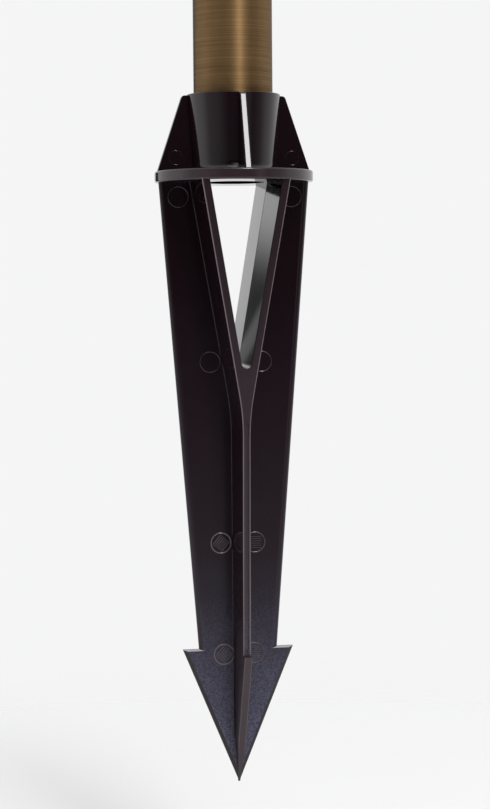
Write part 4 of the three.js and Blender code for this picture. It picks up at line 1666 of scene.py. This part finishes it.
@dataclass
class HeadCollar:
    """Turned collar that joins the post to the cup, held by three set screws."""

    finish: Finish
    steel: Finish
    web: float = 6.0
    radius: float = 18.6
    bead_radius: float = 20.2
    bead_height: float = 4.0
    top_radius: float = 23.0
    bolt_radius: float = 3.0
    screw_radius: float = 2.0
    screw_drop: float = 17.0
    screw_length: float = 4.5
    key_radius: float = 1.15
    key_depth: float = 2.0

    def body(self) -> Part:
        """Collar with two beads and a flared seat.

        Returns:
            The part.
        """
        radius = self.radius
        rise = self.bead_height
        seat = self.top_radius
        bottom = low("head_collar")
        top = high("head_collar")
        bead = self.bead_radius - radius
        bore = POST_RADIUS + SLIP
        mid = top - 7.5
        return lathe(rounded([
            (bore, bottom, 0.2), (self.bead_radius, bottom, 0.9),
            (self.bead_radius, bottom + rise, 0.9),
            (radius, bottom + rise + 0.3, 0.4), (radius, mid - 9.0, 0.4),
            (radius + 0.7, mid - 8.4, 0.35), (radius + 0.7, mid - 6.8, 0.35),
            (radius, mid - 6.2, 0.4), (radius, mid, 2.5),
            (seat - 0.4, top - rise, 0.8),
            (seat, top - rise + 0.3, 0.3), (seat, top - bead / 3, 0.6),
            (seat - bead / 3, top, 0.3), (self.bolt_radius + SLIP, top, 0.1),
            (self.bolt_radius + SLIP, top - self.web, 0.1), (bore, top - self.web, 0.2),
        ]))

    def screw(self) -> Thing:
        """One set screw along -X, with a hexagon socket.

        Returns:
            The object.
        """
        level = high("post_tube") - self.screw_drop
        tip = POST_RADIUS + 0.1
        outer = tip + self.screw_length
        shank = stick(self.screw_radius, Vector((-tip, 0, level)), Vector((-outer, 0, level)), 32)
        screw = mesh_object("set_screw", [shank])
        key = stick(self.key_radius, Vector((-outer + self.key_depth, 0, level)),
                    Vector((-outer - 2, 0, level)), 6)
        cut_away(screw, [key])
        return screw

    def build(self) -> list[Thing]:
        """Builds the collar and its set screws.

        Returns:
            The pieces.
        """
        collar = mesh_object("collar_shell", [self.body()])
        level = high("post_tube") - self.screw_drop
        holes = []
        for turn in (180, 300, 60):
            hole = stick(self.screw_radius + 0.15, Vector((12, 0, level)), Vector((26, 0, level)), 32)
            holes.append(move(hole, about_z(turn)))
        cut_away(collar, holes)
        made = [settle(collar, self.finish, Body.POST, Slot.BRASS, "head_collar")]
        screw = self.screw()
        screws = ring_array_tree().run("collar_screws", [], Count=3, Part=screw, Finish=self.steel)
        discard(screw)
        made.append(settle(screws, self.steel, Body.POST, Slot.STEEL, "collar_screw_1", "collar_screw_2",
                           "collar_screw_3"))
        return made


@dataclass
class TorchCup:
    """Spun brass cup with a rolled rim, bolted to the collar."""

    finish: Finish
    steel: Finish
    wall: float = 1.2
    base_radius: float = 20.0
    mouth_radius: float = 52.0
    rim_radius: float = 2.2
    bolt_hole: float = 3.3
    straight_share: float = 0.55
    steps: int = 44

    def radius(self, share: float) -> float:
        """Outer radius at a share of the cup's height."""
        flare = self.straight_share * share + (1 - self.straight_share) * math.sin(share * math.pi / 2)
        return self.base_radius + (self.mouth_radius - self.base_radius) * flare

    def shell(self) -> Part:
        """Cup wall with a rounded foot.

        Returns:
            The part.
        """
        bottom = low("torch_cup")
        depth = high("torch_cup") - bottom
        outside = []
        inside = []
        for step in range(self.steps + 1):
            share = step / self.steps
            outside.append((self.radius(share), bottom + depth * share, 0.0))
            height = self.wall + (depth - self.wall) * share
            inside.append((self.radius(height / depth) - self.wall, bottom + height, 0.0))
        outside[0] = (outside[0][0], outside[0][1], 1.6)
        inside[0] = (inside[0][0], inside[0][1], 1.2)
        profile = [(self.bolt_hole, bottom, 0.1), *outside, *reversed(inside),
                   (self.bolt_hole, bottom + self.wall, 0.1)]
        return lathe(rounded(profile), sides=ROUND_SIDES)

    def rim(self) -> Part:
        """Rolled rim with a slot that takes the cup's edge.

        Returns:
            The part.
        """
        centre = self.mouth_radius - self.wall / 2
        level = high("torch_cup")
        points = []
        for step in range(29):
            turn = math.radians(-50 + 10 * step)
            points.append((centre + self.rim_radius * math.cos(turn),
                           level + self.rim_radius * math.sin(turn)))
        slot = self.wall / 2 + 0.3
        foot = level - self.rim_radius * math.sin(math.radians(50))
        points += [(centre - slot, foot), (centre - slot, level + 0.1), (centre + slot, level + 0.1),
                   (centre + slot, foot)]
        return lathe(points, sides=ROUND_SIDES)

    def build(self) -> list[Thing]:
        """Builds the cup and dresses the bolt, washer and nut.

        Returns:
            The pieces.
        """
        made = [
            settle(mesh_object("cup_shell", [self.shell()]), self.finish, Body.POST, Slot.BRASS, "torch_cup"),
            settle(mesh_object("cup_rim", [self.rim()]), self.finish, Body.POST, Slot.BRASS, "rim_ring"),
        ]
        for node in ("cup_washer", "cup_bolt", "cup_nut"):
            dress_node(node, self.steel)
        return made


def dress_node(name: str, finish: Finish) -> None:
    """Gives a carried-over CAD node its finish.

    Args:
        name: Node name.
        finish: Material for every slot of its object.
    """
    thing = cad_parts[name]
    if not thing.material_slots:
        thing.data.materials.append(finish)
    for slot in thing.material_slots:
        slot.material = finish
    LOG.info("%s: dressed", name)


# ---- canister, lid and burner


@dataclass
class Canister:
    """Drawn fuel canister with its brass lid, filler neck and snuffer bracket."""

    finish: Finish
    brass: Finish
    steel: Finish
    radius: float = 46.5
    foot_radius: float = 30.0
    foot_chamfer: float = 3.0
    collar: float = 8.0
    wall: float = 0.9
    lid_radius: float = 56.0
    lid_thickness: float = 1.4
    lid_rise: float = 6.0
    panel_radius: float = 43.0
    lid_step: float = 2.5
    skirt: float = 6.0
    neck_radius: float = 13.4
    neck_wall: float = 1.6
    ear_inner: float = 4.6
    ear_outer: float = 6.1
    ear_front: float = 5.0
    bracket_sheet: float = 1.4
    bracket_reach: float = 9.0
    stop_x: float = 5.0
    stop_thickness: float = 1.4
    rivet_radius: float = 1.5
    rivet_head: float = 2.6
    pin_radius: float = 1.5
    pin_head: float = 2.6
    pin_head_height: float = 1.2

    def can(self) -> Part:
        """Canister with two rolled ribs round its wall.

        Returns:
            The part.
        """
        foot = self.foot_radius
        chamfer = self.foot_chamfer
        wall = self.wall
        bottom = low("fuel_canister")
        top = high("fuel_canister")
        outer: list[Corner] = [
            (foot - chamfer, bottom, 1.0),
            (foot, bottom + chamfer, 1.4),
        ]
        wall_start = bottom + chamfer
        wall_end = top - self.collar
        for share, proud in ((0.30, 0), (0.33, 0.5), (0.36, 0), (0.70, 0), (0.73, 0.5), (0.76, 0)):
            radius = foot + (self.radius - foot) * share
            outer.append((radius + proud, wall_start + (wall_end - wall_start) * share, 1.0))
        outer += [(self.radius, wall_end, 1.5), (self.radius, top, 0.2)]
        inner: list[Corner] = [
            (self.radius - wall, top, 0.2), (self.radius - wall, wall_end, 1.5),
            (foot - wall, wall_start, 1.4),
            (foot - chamfer - wall / 2, bottom + wall, 1.0),
        ]
        profile = [(0.0, bottom, 0.0), *outer, *inner, (0.0, bottom + wall, 0.0)]
        return lathe(rounded(profile, closed=False))

    def lid(self) -> Part:
        """Lid with a raised panel, a rolled outer edge, a skirt and the filler neck.

        Returns:
            The part.
        """
        neck = self.neck_radius
        sheet = self.lid_thickness
        flat = self.panel_radius
        edge = low("canister_lid") + self.skirt
        under = edge + self.lid_rise
        panel = under + sheet
        neck_top = high("canister_lid")
        skirt_in = self.radius + SLIP
        skirt_out = skirt_in + sheet * 0.8
        over = edge + sheet
        return lathe(rounded([
            (skirt_in, edge - self.skirt, 0.3), (skirt_out, edge - self.skirt, 0.3),
            (skirt_out, edge, 0.5), (self.lid_radius, edge, 0.65), (self.lid_radius, over, 0.65),
            (flat + self.lid_step + 1.2, over, 1.6), (flat, panel, 1.8),
            (neck + 3.2, panel, 0.5), (neck + 2.8, panel + 0.6, 0.4),
            (neck, panel + 0.6, 0.5), (neck, neck_top, 0.35),
            (neck - self.neck_wall, neck_top, 0.35),
            (neck - self.neck_wall, under, 0.3),
            (flat - sheet, under, 1.0),
            (flat + self.lid_step - sheet, edge, 1.0), (skirt_in, edge, 0.4),
        ]), sides=ROUND_SIDES)

    def bracket(self) -> Thing:
        """Bent bracket with two ears and a stop.

        Returns:
            The object.
        """
        foot = low("snuffer_bracket")
        ear_top = high("snuffer_bracket")
        x = HINGE_X
        rear = x + self.stop_x + self.stop_thickness
        base = block((x - self.bracket_reach, -self.ear_outer, foot),
                     (rear, self.ear_outer, foot + self.bracket_sheet), 0.35)
        stop = block((x + self.stop_x, -self.ear_outer, foot), (rear, self.ear_outer, hinge_level()), 0.35)
        ears = []
        for side in (-1, 1):
            outline = rounded([(x - self.ear_front, foot, 0.4), (rear, foot, 0.4), (rear, ear_top, 3.0),
                               (x - self.ear_front, ear_top, 4.0)], steps=5)
            half = (self.ear_outer - self.ear_inner) / 2
            ear = plate(outline, [(EdgeForm.EASED, 0.25)] * len(outline), half)
            ears.append(move(ear, shift(0, side * (self.ear_outer + self.ear_inner) / 2, 0)))
        return mesh_object("hinge_bracket", [base, stop, *ears])

    def pin(self) -> Part:
        """Hinge pin with a flat head at each end, along Y.

        Returns:
            The part.
        """
        head_in = self.ear_outer + 0.1
        head_out = head_in + self.pin_head_height
        profile = rounded([
            (0, -head_out, 0), (self.pin_head, -head_out, 0.5), (self.pin_head, -head_in, 0.15),
            (self.pin_radius, -head_in, 0), (self.pin_radius, head_in, 0),
            (self.pin_head, head_in, 0.15), (self.pin_head, head_out, 0.5), (0, head_out, 0),
        ], closed=False)
        turned = move(lathe(profile, SMALL_SIDES), Matrix.Rotation(math.pi / 2, 4, "X"))
        return move(turned, shift(HINGE_X, 0, hinge_level()))

    def rivet(self) -> Thing:
        """One rivet at the origin, its height already in place.

        Returns:
            The object.
        """
        bottom = low("bracket_rivet_1")
        top = high("bracket_rivet_1")
        head = top - 1.2
        tail = bottom + 1.0
        profile = rounded([
            (0, bottom, 0), (self.rivet_head * 0.8, bottom, 0.4), (self.rivet_head, tail, 0.2),
            (self.rivet_radius, tail, 0), (self.rivet_radius, head, 0), (self.rivet_head, head, 0.2),
            (self.rivet_head * 0.85, top - 0.35, 0.8), (0, top, 0),
        ], closed=False)
        return mesh_object("rivet", [lathe(profile, 28)])

    def build(self) -> list[Thing]:
        """Builds the canister, lid, bracket, pin and rivets.

        Returns:
            The pieces.
        """
        made = [
            settle(mesh_object("canister_shell", [self.can()]), self.finish, Body.CANISTER, Slot.TIN,
                   "fuel_canister"),
            settle(mesh_object("lid_plate", [self.lid()]), self.brass, Body.CANISTER, Slot.BRASS,
                   "canister_lid"),
            settle(self.bracket(), self.brass, Body.CANISTER, Slot.BRASS, "snuffer_bracket",
                   crisp=True),
            settle(mesh_object("hinge_pin", [self.pin()]), self.steel, Body.CANISTER, Slot.STEEL,
                   "snuffer_pin"),
        ]
        rivet = self.rivet()
        rivet_x = HINGE_X - self.ear_front - 2
        places = [Vector((rivet_x, -3, 0)), Vector((rivet_x, 3, 0))]
        rivets = place_array_tree().run("bracket_rivets", places, Part=rivet, Finish=self.steel)
        discard(rivet)
        made.append(settle(rivets, self.steel, Body.CANISTER, Slot.STEEL, "bracket_rivet_1",
                           "bracket_rivet_2"))
        return made


@dataclass
class Burner:
    """Screw cap with a knurled skirt, gasket, wick tube and braided wick."""

    brass: Finish
    rubber: Finish
    fibre: Finish
    neck_radius: float = 13.4
    wall: float = 3.0
    skirt: float = 12.0
    gasket_bore: float = 8.4
    tube_radius: float = 7.0
    tube_wall: float = 0.8
    tube_flange: float = 9.5
    seat_sheet: float = 1.0
    wick_radius: float = 5.8
    ribs: int = 54
    rib_radius: float = 0.5

    def gasket(self) -> Part:
        """Flat gasket on the filler neck.

        Returns:
            The part.
        """
        bottom = low("neck_gasket")
        top = high("neck_gasket")
        return lathe(rounded([(self.gasket_bore, bottom, 0.3), (self.neck_radius, bottom, 0.4),
                              (self.neck_radius, top, 0.4), (self.gasket_bore, top, 0.3)], steps=5), sides=64)

    def cap(self) -> Part:
        """Cap with a turned step and eased edges.

        Returns:
            The part.
        """
        top = high("burner_cap")
        skirt_in = self.neck_radius + SLIP
        outer = skirt_in + self.wall
        under = low("burner_cap") + self.skirt
        bore = self.tube_radius + 0.1
        return lathe(rounded([
            (bore, under, 0.2), (skirt_in, under, 0.3), (skirt_in, under - self.skirt, 0.3),
            (outer, under - self.skirt, 0.5), (outer, under - self.skirt + 1.4, 0.2),
            (outer - 0.5, under - self.skirt + 1.7, 0.2), (outer - 0.5, top - 2.4, 0.2),
            (outer, top - 2.1, 0.2), (outer, top, 1.2), (11.4, top, 0.4), (11.0, top - 0.3, 0.3),
            (10.2, top - 0.3, 0.3), (9.8, top, 0.3), (bore, top, 0.2),
        ]), sides=96)

    def tube(self) -> Part:
        """Wick tube with a seating flange.

        Returns:
            The part.
        """
        radius = self.tube_radius
        bottom = low("wick_tube")
        top = high("wick_tube")
        flange = high("burner_cap") + 0.1
        inner = radius - self.tube_wall
        return lathe(rounded([
            (inner, bottom, 0.2), (radius, bottom, 0.3), (radius, flange, 0.1),
            (self.tube_flange, flange, 0.25), (self.tube_flange, flange + self.seat_sheet, 0.4),
            (radius, flange + self.seat_sheet, 0.5), (radius, top, 0.3),
            (inner, top, 0.3),
        ]), sides=72)

    def rib(self) -> Thing:
        """One rib of the knurled skirt, on the +X side.

        Returns:
            The object.
        """
        outer = self.neck_radius + SLIP + self.wall - 0.5
        bottom = low("burner_cap") + 1.9
        top = high("burner_cap") - 2.6
        rib = stick(self.rib_radius, Vector((outer, 0, bottom)), Vector((outer, 0, top)), 8)
        return mesh_object("rib", [rib])

    def wick(self) -> Part:
        """Core of the wick, slightly domed and frayed in at the burning end.

        Returns:
            The part.
        """
        bottom = low("wick")
        top = high("wick")
        core = self.wick_radius - 0.75
        return lathe(rounded([
            (0, bottom, 0), (core, bottom, 1.0), (core, top - 1.6, 1.2), (core * 0.6, top - 0.5, 1.0),
            (0, top - 0.7, 0),
        ], closed=False), SMALL_SIDES)

    def build(self) -> list[Thing]:
        """Builds the gasket, cap, knurling, wick tube and wick.

        Returns:
            The pieces.
        """
        made = [
            settle(mesh_object("gasket_ring", [self.gasket()]), self.rubber, Body.GASKET, Slot.RUBBER,
                   "neck_gasket"),
            settle(mesh_object("burner_shell", [self.cap()]), self.brass, Body.BURNER, Slot.BRASS,
                   "burner_cap"),
            settle(mesh_object("wick_sleeve", [self.tube()]), self.brass, Body.BURNER, Slot.BRASS,
                   "wick_tube"),
            settle(mesh_object("wick_core", [self.wick()]), self.fibre, Body.WICK, Slot.FIBRE, "wick"),
        ]
        rib = self.rib()
        ribs = ring_array_tree().run("cap_knurling", [], Count=self.ribs, Part=rib, Finish=self.brass)
        discard(rib)
        made.append(settle(ribs, self.brass, Body.BURNER, Slot.BRASS))
        bottom = low("wick") + 0.4
        length = high("wick") - 0.7 - bottom
        yarn_radius = 0.42
        braid = Braid().tree().run("wick_braid", [Vector((0, 0, bottom))], Yarns=14,
                                 Radius=(self.wick_radius - yarn_radius - 0.2) * MM, Length=length * MM,
                                 Turns=length / 34.0, Yarn_radius=yarn_radius * MM, Finish=self.fibre)
        made.append(settle(braid, self.fibre, Body.WICK, Slot.FIBRE))
        return made


# ---- snuffer


@dataclass
class Snuffer:
    """Bell on a bent strap arm, made shut over the wick and turned open about the hinge."""

    brass: Finish
    steel: Finish
    hinge_rise: float = 1.0
    opened: float = 105.0
    barrel_radius: float = 3.2
    pin_radius: float = 1.5
    arm_half: float = 4.2
    arm_sheet: float = 1.8
    arm_corner: float = 14.0
    bell_radius: float = 14.0
    bell_top: float = 9.0
    bell_wall: float = 1.0
    bell_depth: float = 24.0
    bell_gap: float = 0.5
    knob_radius: float = 5.0
    stud_radius: float = 1.8

    def place(self) -> Matrix:
        """Turn and shift from the hinge's own axes to the torch."""
        return shift(HINGE_X, 0, hinge_level()) @ about_y(self.opened)

    def arm(self) -> Thing:
        """Strap arm with a rolled barrel.

        Returns:
            The object.
        """
        rim = self.bell_gap - self.hinge_rise
        under = rim + self.bell_depth + 0.1
        lean = math.atan2(under, self.arm_corner)
        half = self.arm_sheet / 2
        under_corner = -self.arm_corner - self.arm_sheet * math.tan((math.pi / 2 - lean) / 2) / 2
        end = -HINGE_X - self.bell_top
        outline = rounded([
            (end, under, 0.5), (under_corner, under, 2.4),
            (-half * math.sin(lean), -half * math.cos(lean), 0),
            (half * math.sin(lean), half * math.cos(lean), 0),
            (-self.arm_corner + half, under + self.arm_sheet, 3.4),
            (end, under + self.arm_sheet, 0.5),
        ], steps=6)
        strap = plate(outline, [(EdgeForm.EASED, 0.35)] * len(outline), self.arm_half)
        barrel = lathe(rounded([
            (self.pin_radius + SLIP, -self.arm_half, 0.2), (self.barrel_radius, -self.arm_half, 0.4),
            (self.barrel_radius, self.arm_half, 0.4), (self.pin_radius + SLIP, self.arm_half, 0.2),
        ]), SMALL_SIDES)
        barrel = move(barrel, Matrix.Rotation(math.pi / 2, 4, "X"))
        thing = mesh_object("snuffer_strap", [strap])
        bore = stick(self.barrel_radius - 0.6, Vector((0, -9, 0)), Vector((0, 9, 0)))
        stud = stick(self.stud_radius + 0.1, Vector((-HINGE_X, 0, under - 3)),
                     Vector((-HINGE_X, 0, under + 5)), 32)
        cut_away(thing, [bore, stud])
        join_into(thing, mesh_object("roll", [barrel]))
        return thing

    def bell(self) -> Part:
        """Bell with a turned lip and a domed shoulder.

        Returns:
            The part.
        """
        radius = self.bell_radius
        wall = self.bell_wall
        rim = self.bell_gap - self.hinge_rise
        top = rim + self.bell_depth
        shoulder = top - (radius - self.bell_top)
        hole = self.stud_radius + 0.1
        profile = rounded([
            (radius - wall, rim, 0.2), (radius + 1.0, rim, 0.3),
            (radius + 1.0, rim + 1.0, 0.4), (radius, rim + 2.0, 0.5),
            (radius, shoulder, 3.0), (radius - 1.5, shoulder + 3.4, 2.4),
            (self.bell_top, top, 1.0), (hole, top, 0.1), (hole, top - wall, 0.1),
            (self.bell_top - wall / 2, top - wall, 1.0),
            (radius - wall - 1.2, shoulder + 2.8, 2.4),
            (radius - wall, shoulder, 3.0),
        ], steps=5)
        return move(lathe(profile, 80), shift(-HINGE_X, 0, 0))

    def knob(self) -> Part:
        """Ball knob on a turned foot with its stud.

        Returns:
            The part.
        """
        top = self.bell_gap - self.hinge_rise + self.bell_depth
        foot = top + 0.1 + self.arm_sheet + 0.1
        radius = self.knob_radius
        centre = foot + radius
        neck = radius * 0.7
        stud_end = top - self.bell_wall - 0.1 - 2.4 - 0.5
        profile: list[Corner] = [
            (0, stud_end, 0), (self.stud_radius, stud_end, 0.3), (self.stud_radius, foot, 0),
            (neck, foot, 0.3), (neck, foot + 0.9, 0.4), (neck * 0.82, foot + 1.4, 0.3),
        ]
        for step in range(13):
            turn = math.radians(-48 + 138 * step / 12)
            profile.append((max(0.0, radius * math.cos(turn)), centre + radius * math.sin(turn), 0.0))
        profile[-1] = (0.0, centre + radius, 0.0)
        return move(lathe(rounded(profile, closed=False), 56), shift(-HINGE_X, 0, 0))

    def build(self) -> list[Thing]:
        """Builds the arm, bell and knob, and dresses the nut.

        Returns:
            The pieces.
        """
        arm = self.arm()
        turn = self.place()
        arm.data.transform(Matrix.Scale(MM, 4) @ turn @ Matrix.Scale(1 / MM, 4))
        made = [
            settle(arm, self.brass, Body.SNUFFER, Slot.BRASS, "snuffer_arm", crisp=True),
            settle(mesh_object("bell_shell", [move(self.bell(), turn)]), self.brass, Body.SNUFFER, Slot.BRASS,
                   "snuffer_bell"),
            settle(mesh_object("knob_ball", [move(self.knob(), turn)]), self.brass, Body.SNUFFER, Slot.BRASS,
                   "snuffer_knob"),
        ]
        dress_node("snuffer_nut", self.steel)
        return made


# ---- studio


@dataclass
class Studio:
    """Camera, pale floor, soft lights and plain surroundings."""

    camera_place: tuple[float, float, float] = (-0.15175, -0.79297, -0.03735)
    yaw: float = -11.098
    pitch: float = -3.702
    roll: float = -0.498
    lens: float = 88.77
    sensor_width: float = 36.0
    clip_start: float = 0.01
    clip_end: float = 50.0
    backdrop: float = 0.913
    backdrop_blue: float = 1.004
    room: tuple[Point2, ...] = (
        (-180, 0.92), (-150, 0.95), (-118, 1.0), (-82, 1.0), (-64, 0.50), (-38, 0.34), (-22, 0.16),
        (-12, 0.05), (10, 0.05), (20, 0.05), (30, 0.07), (38, 0.35), (50, 0.10), (72, 0.28), (90, 0.75),
        (128, 1.15), (160, 0.95), (180, 0.92),
    )
    ground_light: Colour = (0.95, 0.96, 1.08, 1.0)
    ground_slope: Point2 = (-0.03, -0.33)
    ceiling_light: Colour = (1.0, 1.0, 1.0, 1.0)
    ceiling_slope: Point2 = (0.55, 0.95)
    card_turn: float = -150.0
    card_edge: Point2 = (9.0, 7.0)
    card_slope: Point2 = (0.11, 0.07)
    card_colour: Colour = (0.004, 0.008, 0.009, 1.0)
    panel_turn: float = 24.0
    panel_edge: Point2 = (34.0, 10.0)
    panel_slope: Point2 = (0.22, 0.42)
    panel_light: Colour = (1.9, 1.9, 1.9, 1.0)
    panel_share: float = 0.9
    floor_level: float = -0.300
    floor_radius: float = 0.60
    floor_fade: Point2 = (0.95, 0.25)
    floor_cloud: Point2 = (7.0, 3.0)
    floor_dark: Colour = (0.79, 0.79, 0.795, 1.0)
    floor_light: Colour = (0.81, 0.81, 0.815, 1.0)
    floor_roughness: float = 0.9

    def facing(self) -> tuple[Vector, Vector]:
        """Level directions from the torch towards the camera, and to the camera's right."""
        yaw = math.radians(self.yaw)
        return Vector((math.sin(yaw), -math.cos(yaw), 0.0)), Vector((math.cos(yaw), math.sin(yaw), 0.0))

    def camera(self) -> None:
        """Makes the camera and sets it on the scene."""
        yaw = math.radians(self.yaw)
        pitch = math.radians(self.pitch)
        ahead = Vector((-math.sin(yaw) * math.cos(pitch), math.cos(yaw) * math.cos(pitch), math.sin(pitch)))
        right = self.facing()[1]
        up = right.cross(ahead)
        roll = math.radians(self.roll)
        across = right * math.cos(roll) + up * math.sin(roll)
        upright = up * math.cos(roll) - right * math.sin(roll)
        turn = Matrix((across, upright, -ahead)).transposed().to_4x4()
        data = bpy.data.cameras.new("camera")
        data.lens = self.lens
        data.sensor_fit = "AUTO"
        data.sensor_width = self.sensor_width
        data.clip_start = self.clip_start
        data.clip_end = self.clip_end
        camera = link(bpy.data.objects.new("camera", data))
        camera.matrix_world = Matrix.Translation(self.camera_place) @ turn
        bpy.context.scene.camera = camera

    def surroundings(self) -> None:
        """White backdrop, with darker and lighter stretches of the room for the gloss."""
        world = bpy.data.worlds.new("studio")
        world.use_nodes = True
        world.node_tree.nodes.clear()
        graph = Graph(world.node_tree)
        way = graph.add("ShaderNodeTexCoord").outputs["Generated"]
        ahead, right = self.facing()
        across = graph.vector("DOT_PRODUCT", way, tuple(right))
        along = graph.vector("DOT_PRODUCT", way, tuple(ahead))
        turn = graph.math("ARCTAN2", across, along)
        rise = graph.split(way)[2]
        room = self.room_ramp(graph, turn)
        lit = graph.mix(graph.spread(rise, *self.ground_slope), room, self.ground_light)
        lit = graph.mix(graph.spread(rise, *self.ceiling_slope), lit, self.ceiling_light)
        card = graph.times(self.stretch(graph, turn, self.card_turn, self.card_edge),
                           graph.spread(rise, *self.card_slope))
        lit = graph.mix(card, lit, self.card_colour)
        panel = graph.times(self.stretch(graph, turn, self.panel_turn, self.panel_edge),
                            graph.spread(rise, *self.panel_slope))
        lit = graph.mix(graph.times(panel, self.panel_share), lit, self.panel_light)
        white = (self.backdrop, self.backdrop, self.backdrop * self.backdrop_blue, 1.0)
        seen = graph.add("ShaderNodeLightPath").outputs["Is Camera Ray"]
        light = graph.made("ShaderNodeBackground", graph.mix(seen, lit, white))
        graph.set(graph.add("ShaderNodeOutputWorld"), Surface=light)
        bpy.context.scene.world = world

    def stretch(self, graph: Graph, turn: Socket, middle: float,
                edge: Point2) -> Socket:
        """Mask of a stretch of the room.

        Args:
            graph: Graph of the world.
            turn: Turn of the shaded direction in radians.
            middle: Turn of the middle of the stretch in degrees.
            edge: Degrees from its middle where it starts to show and where it is full.

        Returns:
            The mask.
        """
        off = graph.math("ABSOLUTE", graph.math("SUBTRACT", turn, math.radians(middle)))
        return graph.spread(off, *(math.radians(degrees) for degrees in edge))

    def room_ramp(self, graph: Graph, turn: Socket) -> Socket:
        """Greys of the room round the torch.

        Args:
            graph: Graph of the world.
            turn: Turn of the shaded direction in radians.

        Returns:
            The colour.
        """
        ramp = graph.add("ShaderNodeValToRGB")
        graph.feed(ramp.inputs[0], graph.math("MULTIPLY_ADD", turn, 1 / (2 * math.pi), 0.5))
        elements = ramp.color_ramp.elements
        elements.remove(elements[1])
        for index, (degrees, value) in enumerate(self.room):
            position = degrees / 360 + 0.5
            element = elements[0] if index == 0 else elements.new(position)
            element.position = position
            element.color = (value, value, value, 1.0)
        return ramp.outputs[0]

    def softbox(self, name: str, azimuth: float, elevation: float, distance: float, size: Point2,
radiance: float) -> None:
        """Adds one soft area light.

        Args:
            name: Name of the light.
            azimuth: Degrees to the camera's right, seen from the torch; 0 is at the camera.
            elevation: Degrees above the level.
            distance: Distance from the middle of the flange in metres.
            size: Width and height in metres.
            radiance: Brightness against a white backdrop of 1.
        """
        ahead, right = self.facing()
        turn = math.radians(azimuth)
        rise = math.radians(elevation)
        level = ahead * math.cos(turn) + right * math.sin(turn)
        place = (level * math.cos(rise) + Vector((0, 0, math.sin(rise)))) * distance
        data = bpy.data.lights.new(name, "AREA")
        data.shape = "RECTANGLE"
        data.size = size[0]
        data.size_y = size[1]
        data.energy = radiance * math.pi * size[0] * size[1]
        lamp = link(bpy.data.objects.new(name, data))
        lamp.rotation_mode = "QUATERNION"
        lamp.rotation_quaternion = place.to_track_quat("Z", "Y")
        lamp.location = place

    def floor(self) -> None:
        """Pale floor disc that fades out at its edge."""
        disc = bmesh.new()
        bmesh.ops.create_circle(disc, cap_ends=True, segments=96, radius=self.floor_radius)
        bmesh.ops.translate(disc, verts=disc.verts, vec=(0.0, 0.0, self.floor_level))
        mesh = bpy.data.meshes.new("floor")
        disc.to_mesh(mesh)
        disc.free()
        thing = link(bpy.data.objects.new("floor", mesh))
        material, graph, shader = start_material("pale_floor")
        away = graph.vector("LENGTH", graph.scaled(graph.place(), (1.0, 1.0, 0.0)))
        cloud = graph.noise(graph.place(), *self.floor_cloud)
        fade = graph.spread(away, *(self.floor_radius * share for share in self.floor_fade))
        graph.set(shader, Base_Color=graph.mix(cloud, self.floor_dark, self.floor_light), Alpha=fade,
                  Roughness=self.floor_roughness, Specular_IOR_Level=0.0)
        mesh.materials.append(material)

    def build(self) -> None:
        """Sets the whole studio up."""
        self.camera()
        self.surroundings()
        self.floor()
        self.softbox("key_softbox", 24, 42, 1.7, (0.34, 0.62), 16.0)
        self.softbox("overhead_softbox", 10, 72, 2.3, (1.1, 0.20), 7.5)
        bpy.context.scene.view_settings.view_transform = "Standard"
        bpy.context.scene.view_settings.look = "None"


def main() -> None:
    """Builds the studio and the torch from the ground up."""
    logging.basicConfig(level=logging.INFO, format="%(message)s")
    Studio().build()
    plastic = MouldedPlastic().build()
    post_brass = BrushedBrass(name="brushed_brass").build()
    spun_brass = BrushedBrass(name="spun_brass", lines=2400.0, line_depth=0.30, roughness=0.36,
                              tarnish_amount=0.45).build()
    steel = SheetMetal().build()
    tin = SheetMetal(name="tinplate", light=(0.50, 0.50, 0.485, 1.0), dark=(0.36, 0.36, 0.35, 1.0),
                     roughness=0.32, stain_amount=0.4, grain_scale=700.0).build()
    rubber = SoftRubber().build()
    wick_top = high("wick") * MM
    fibre = GlassBraid(char_start=wick_top - 0.011, char_end=wick_top - 0.004).build()
    assemblies = [
        GroundSpike(plastic),
        Post(post_brass),
        HeadCollar(spun_brass, steel),
        TorchCup(spun_brass, steel),
        Canister(tin, spun_brass, steel),
        Burner(spun_brass, rubber, fibre),
        Snuffer(spun_brass, steel),
    ]
    for assembly in assemblies:
        pieces = assembly.build()
        LOG.info("%s: %d pieces", type(assembly).__name__, len(pieces))


if __name__ == "__main__":
    main()
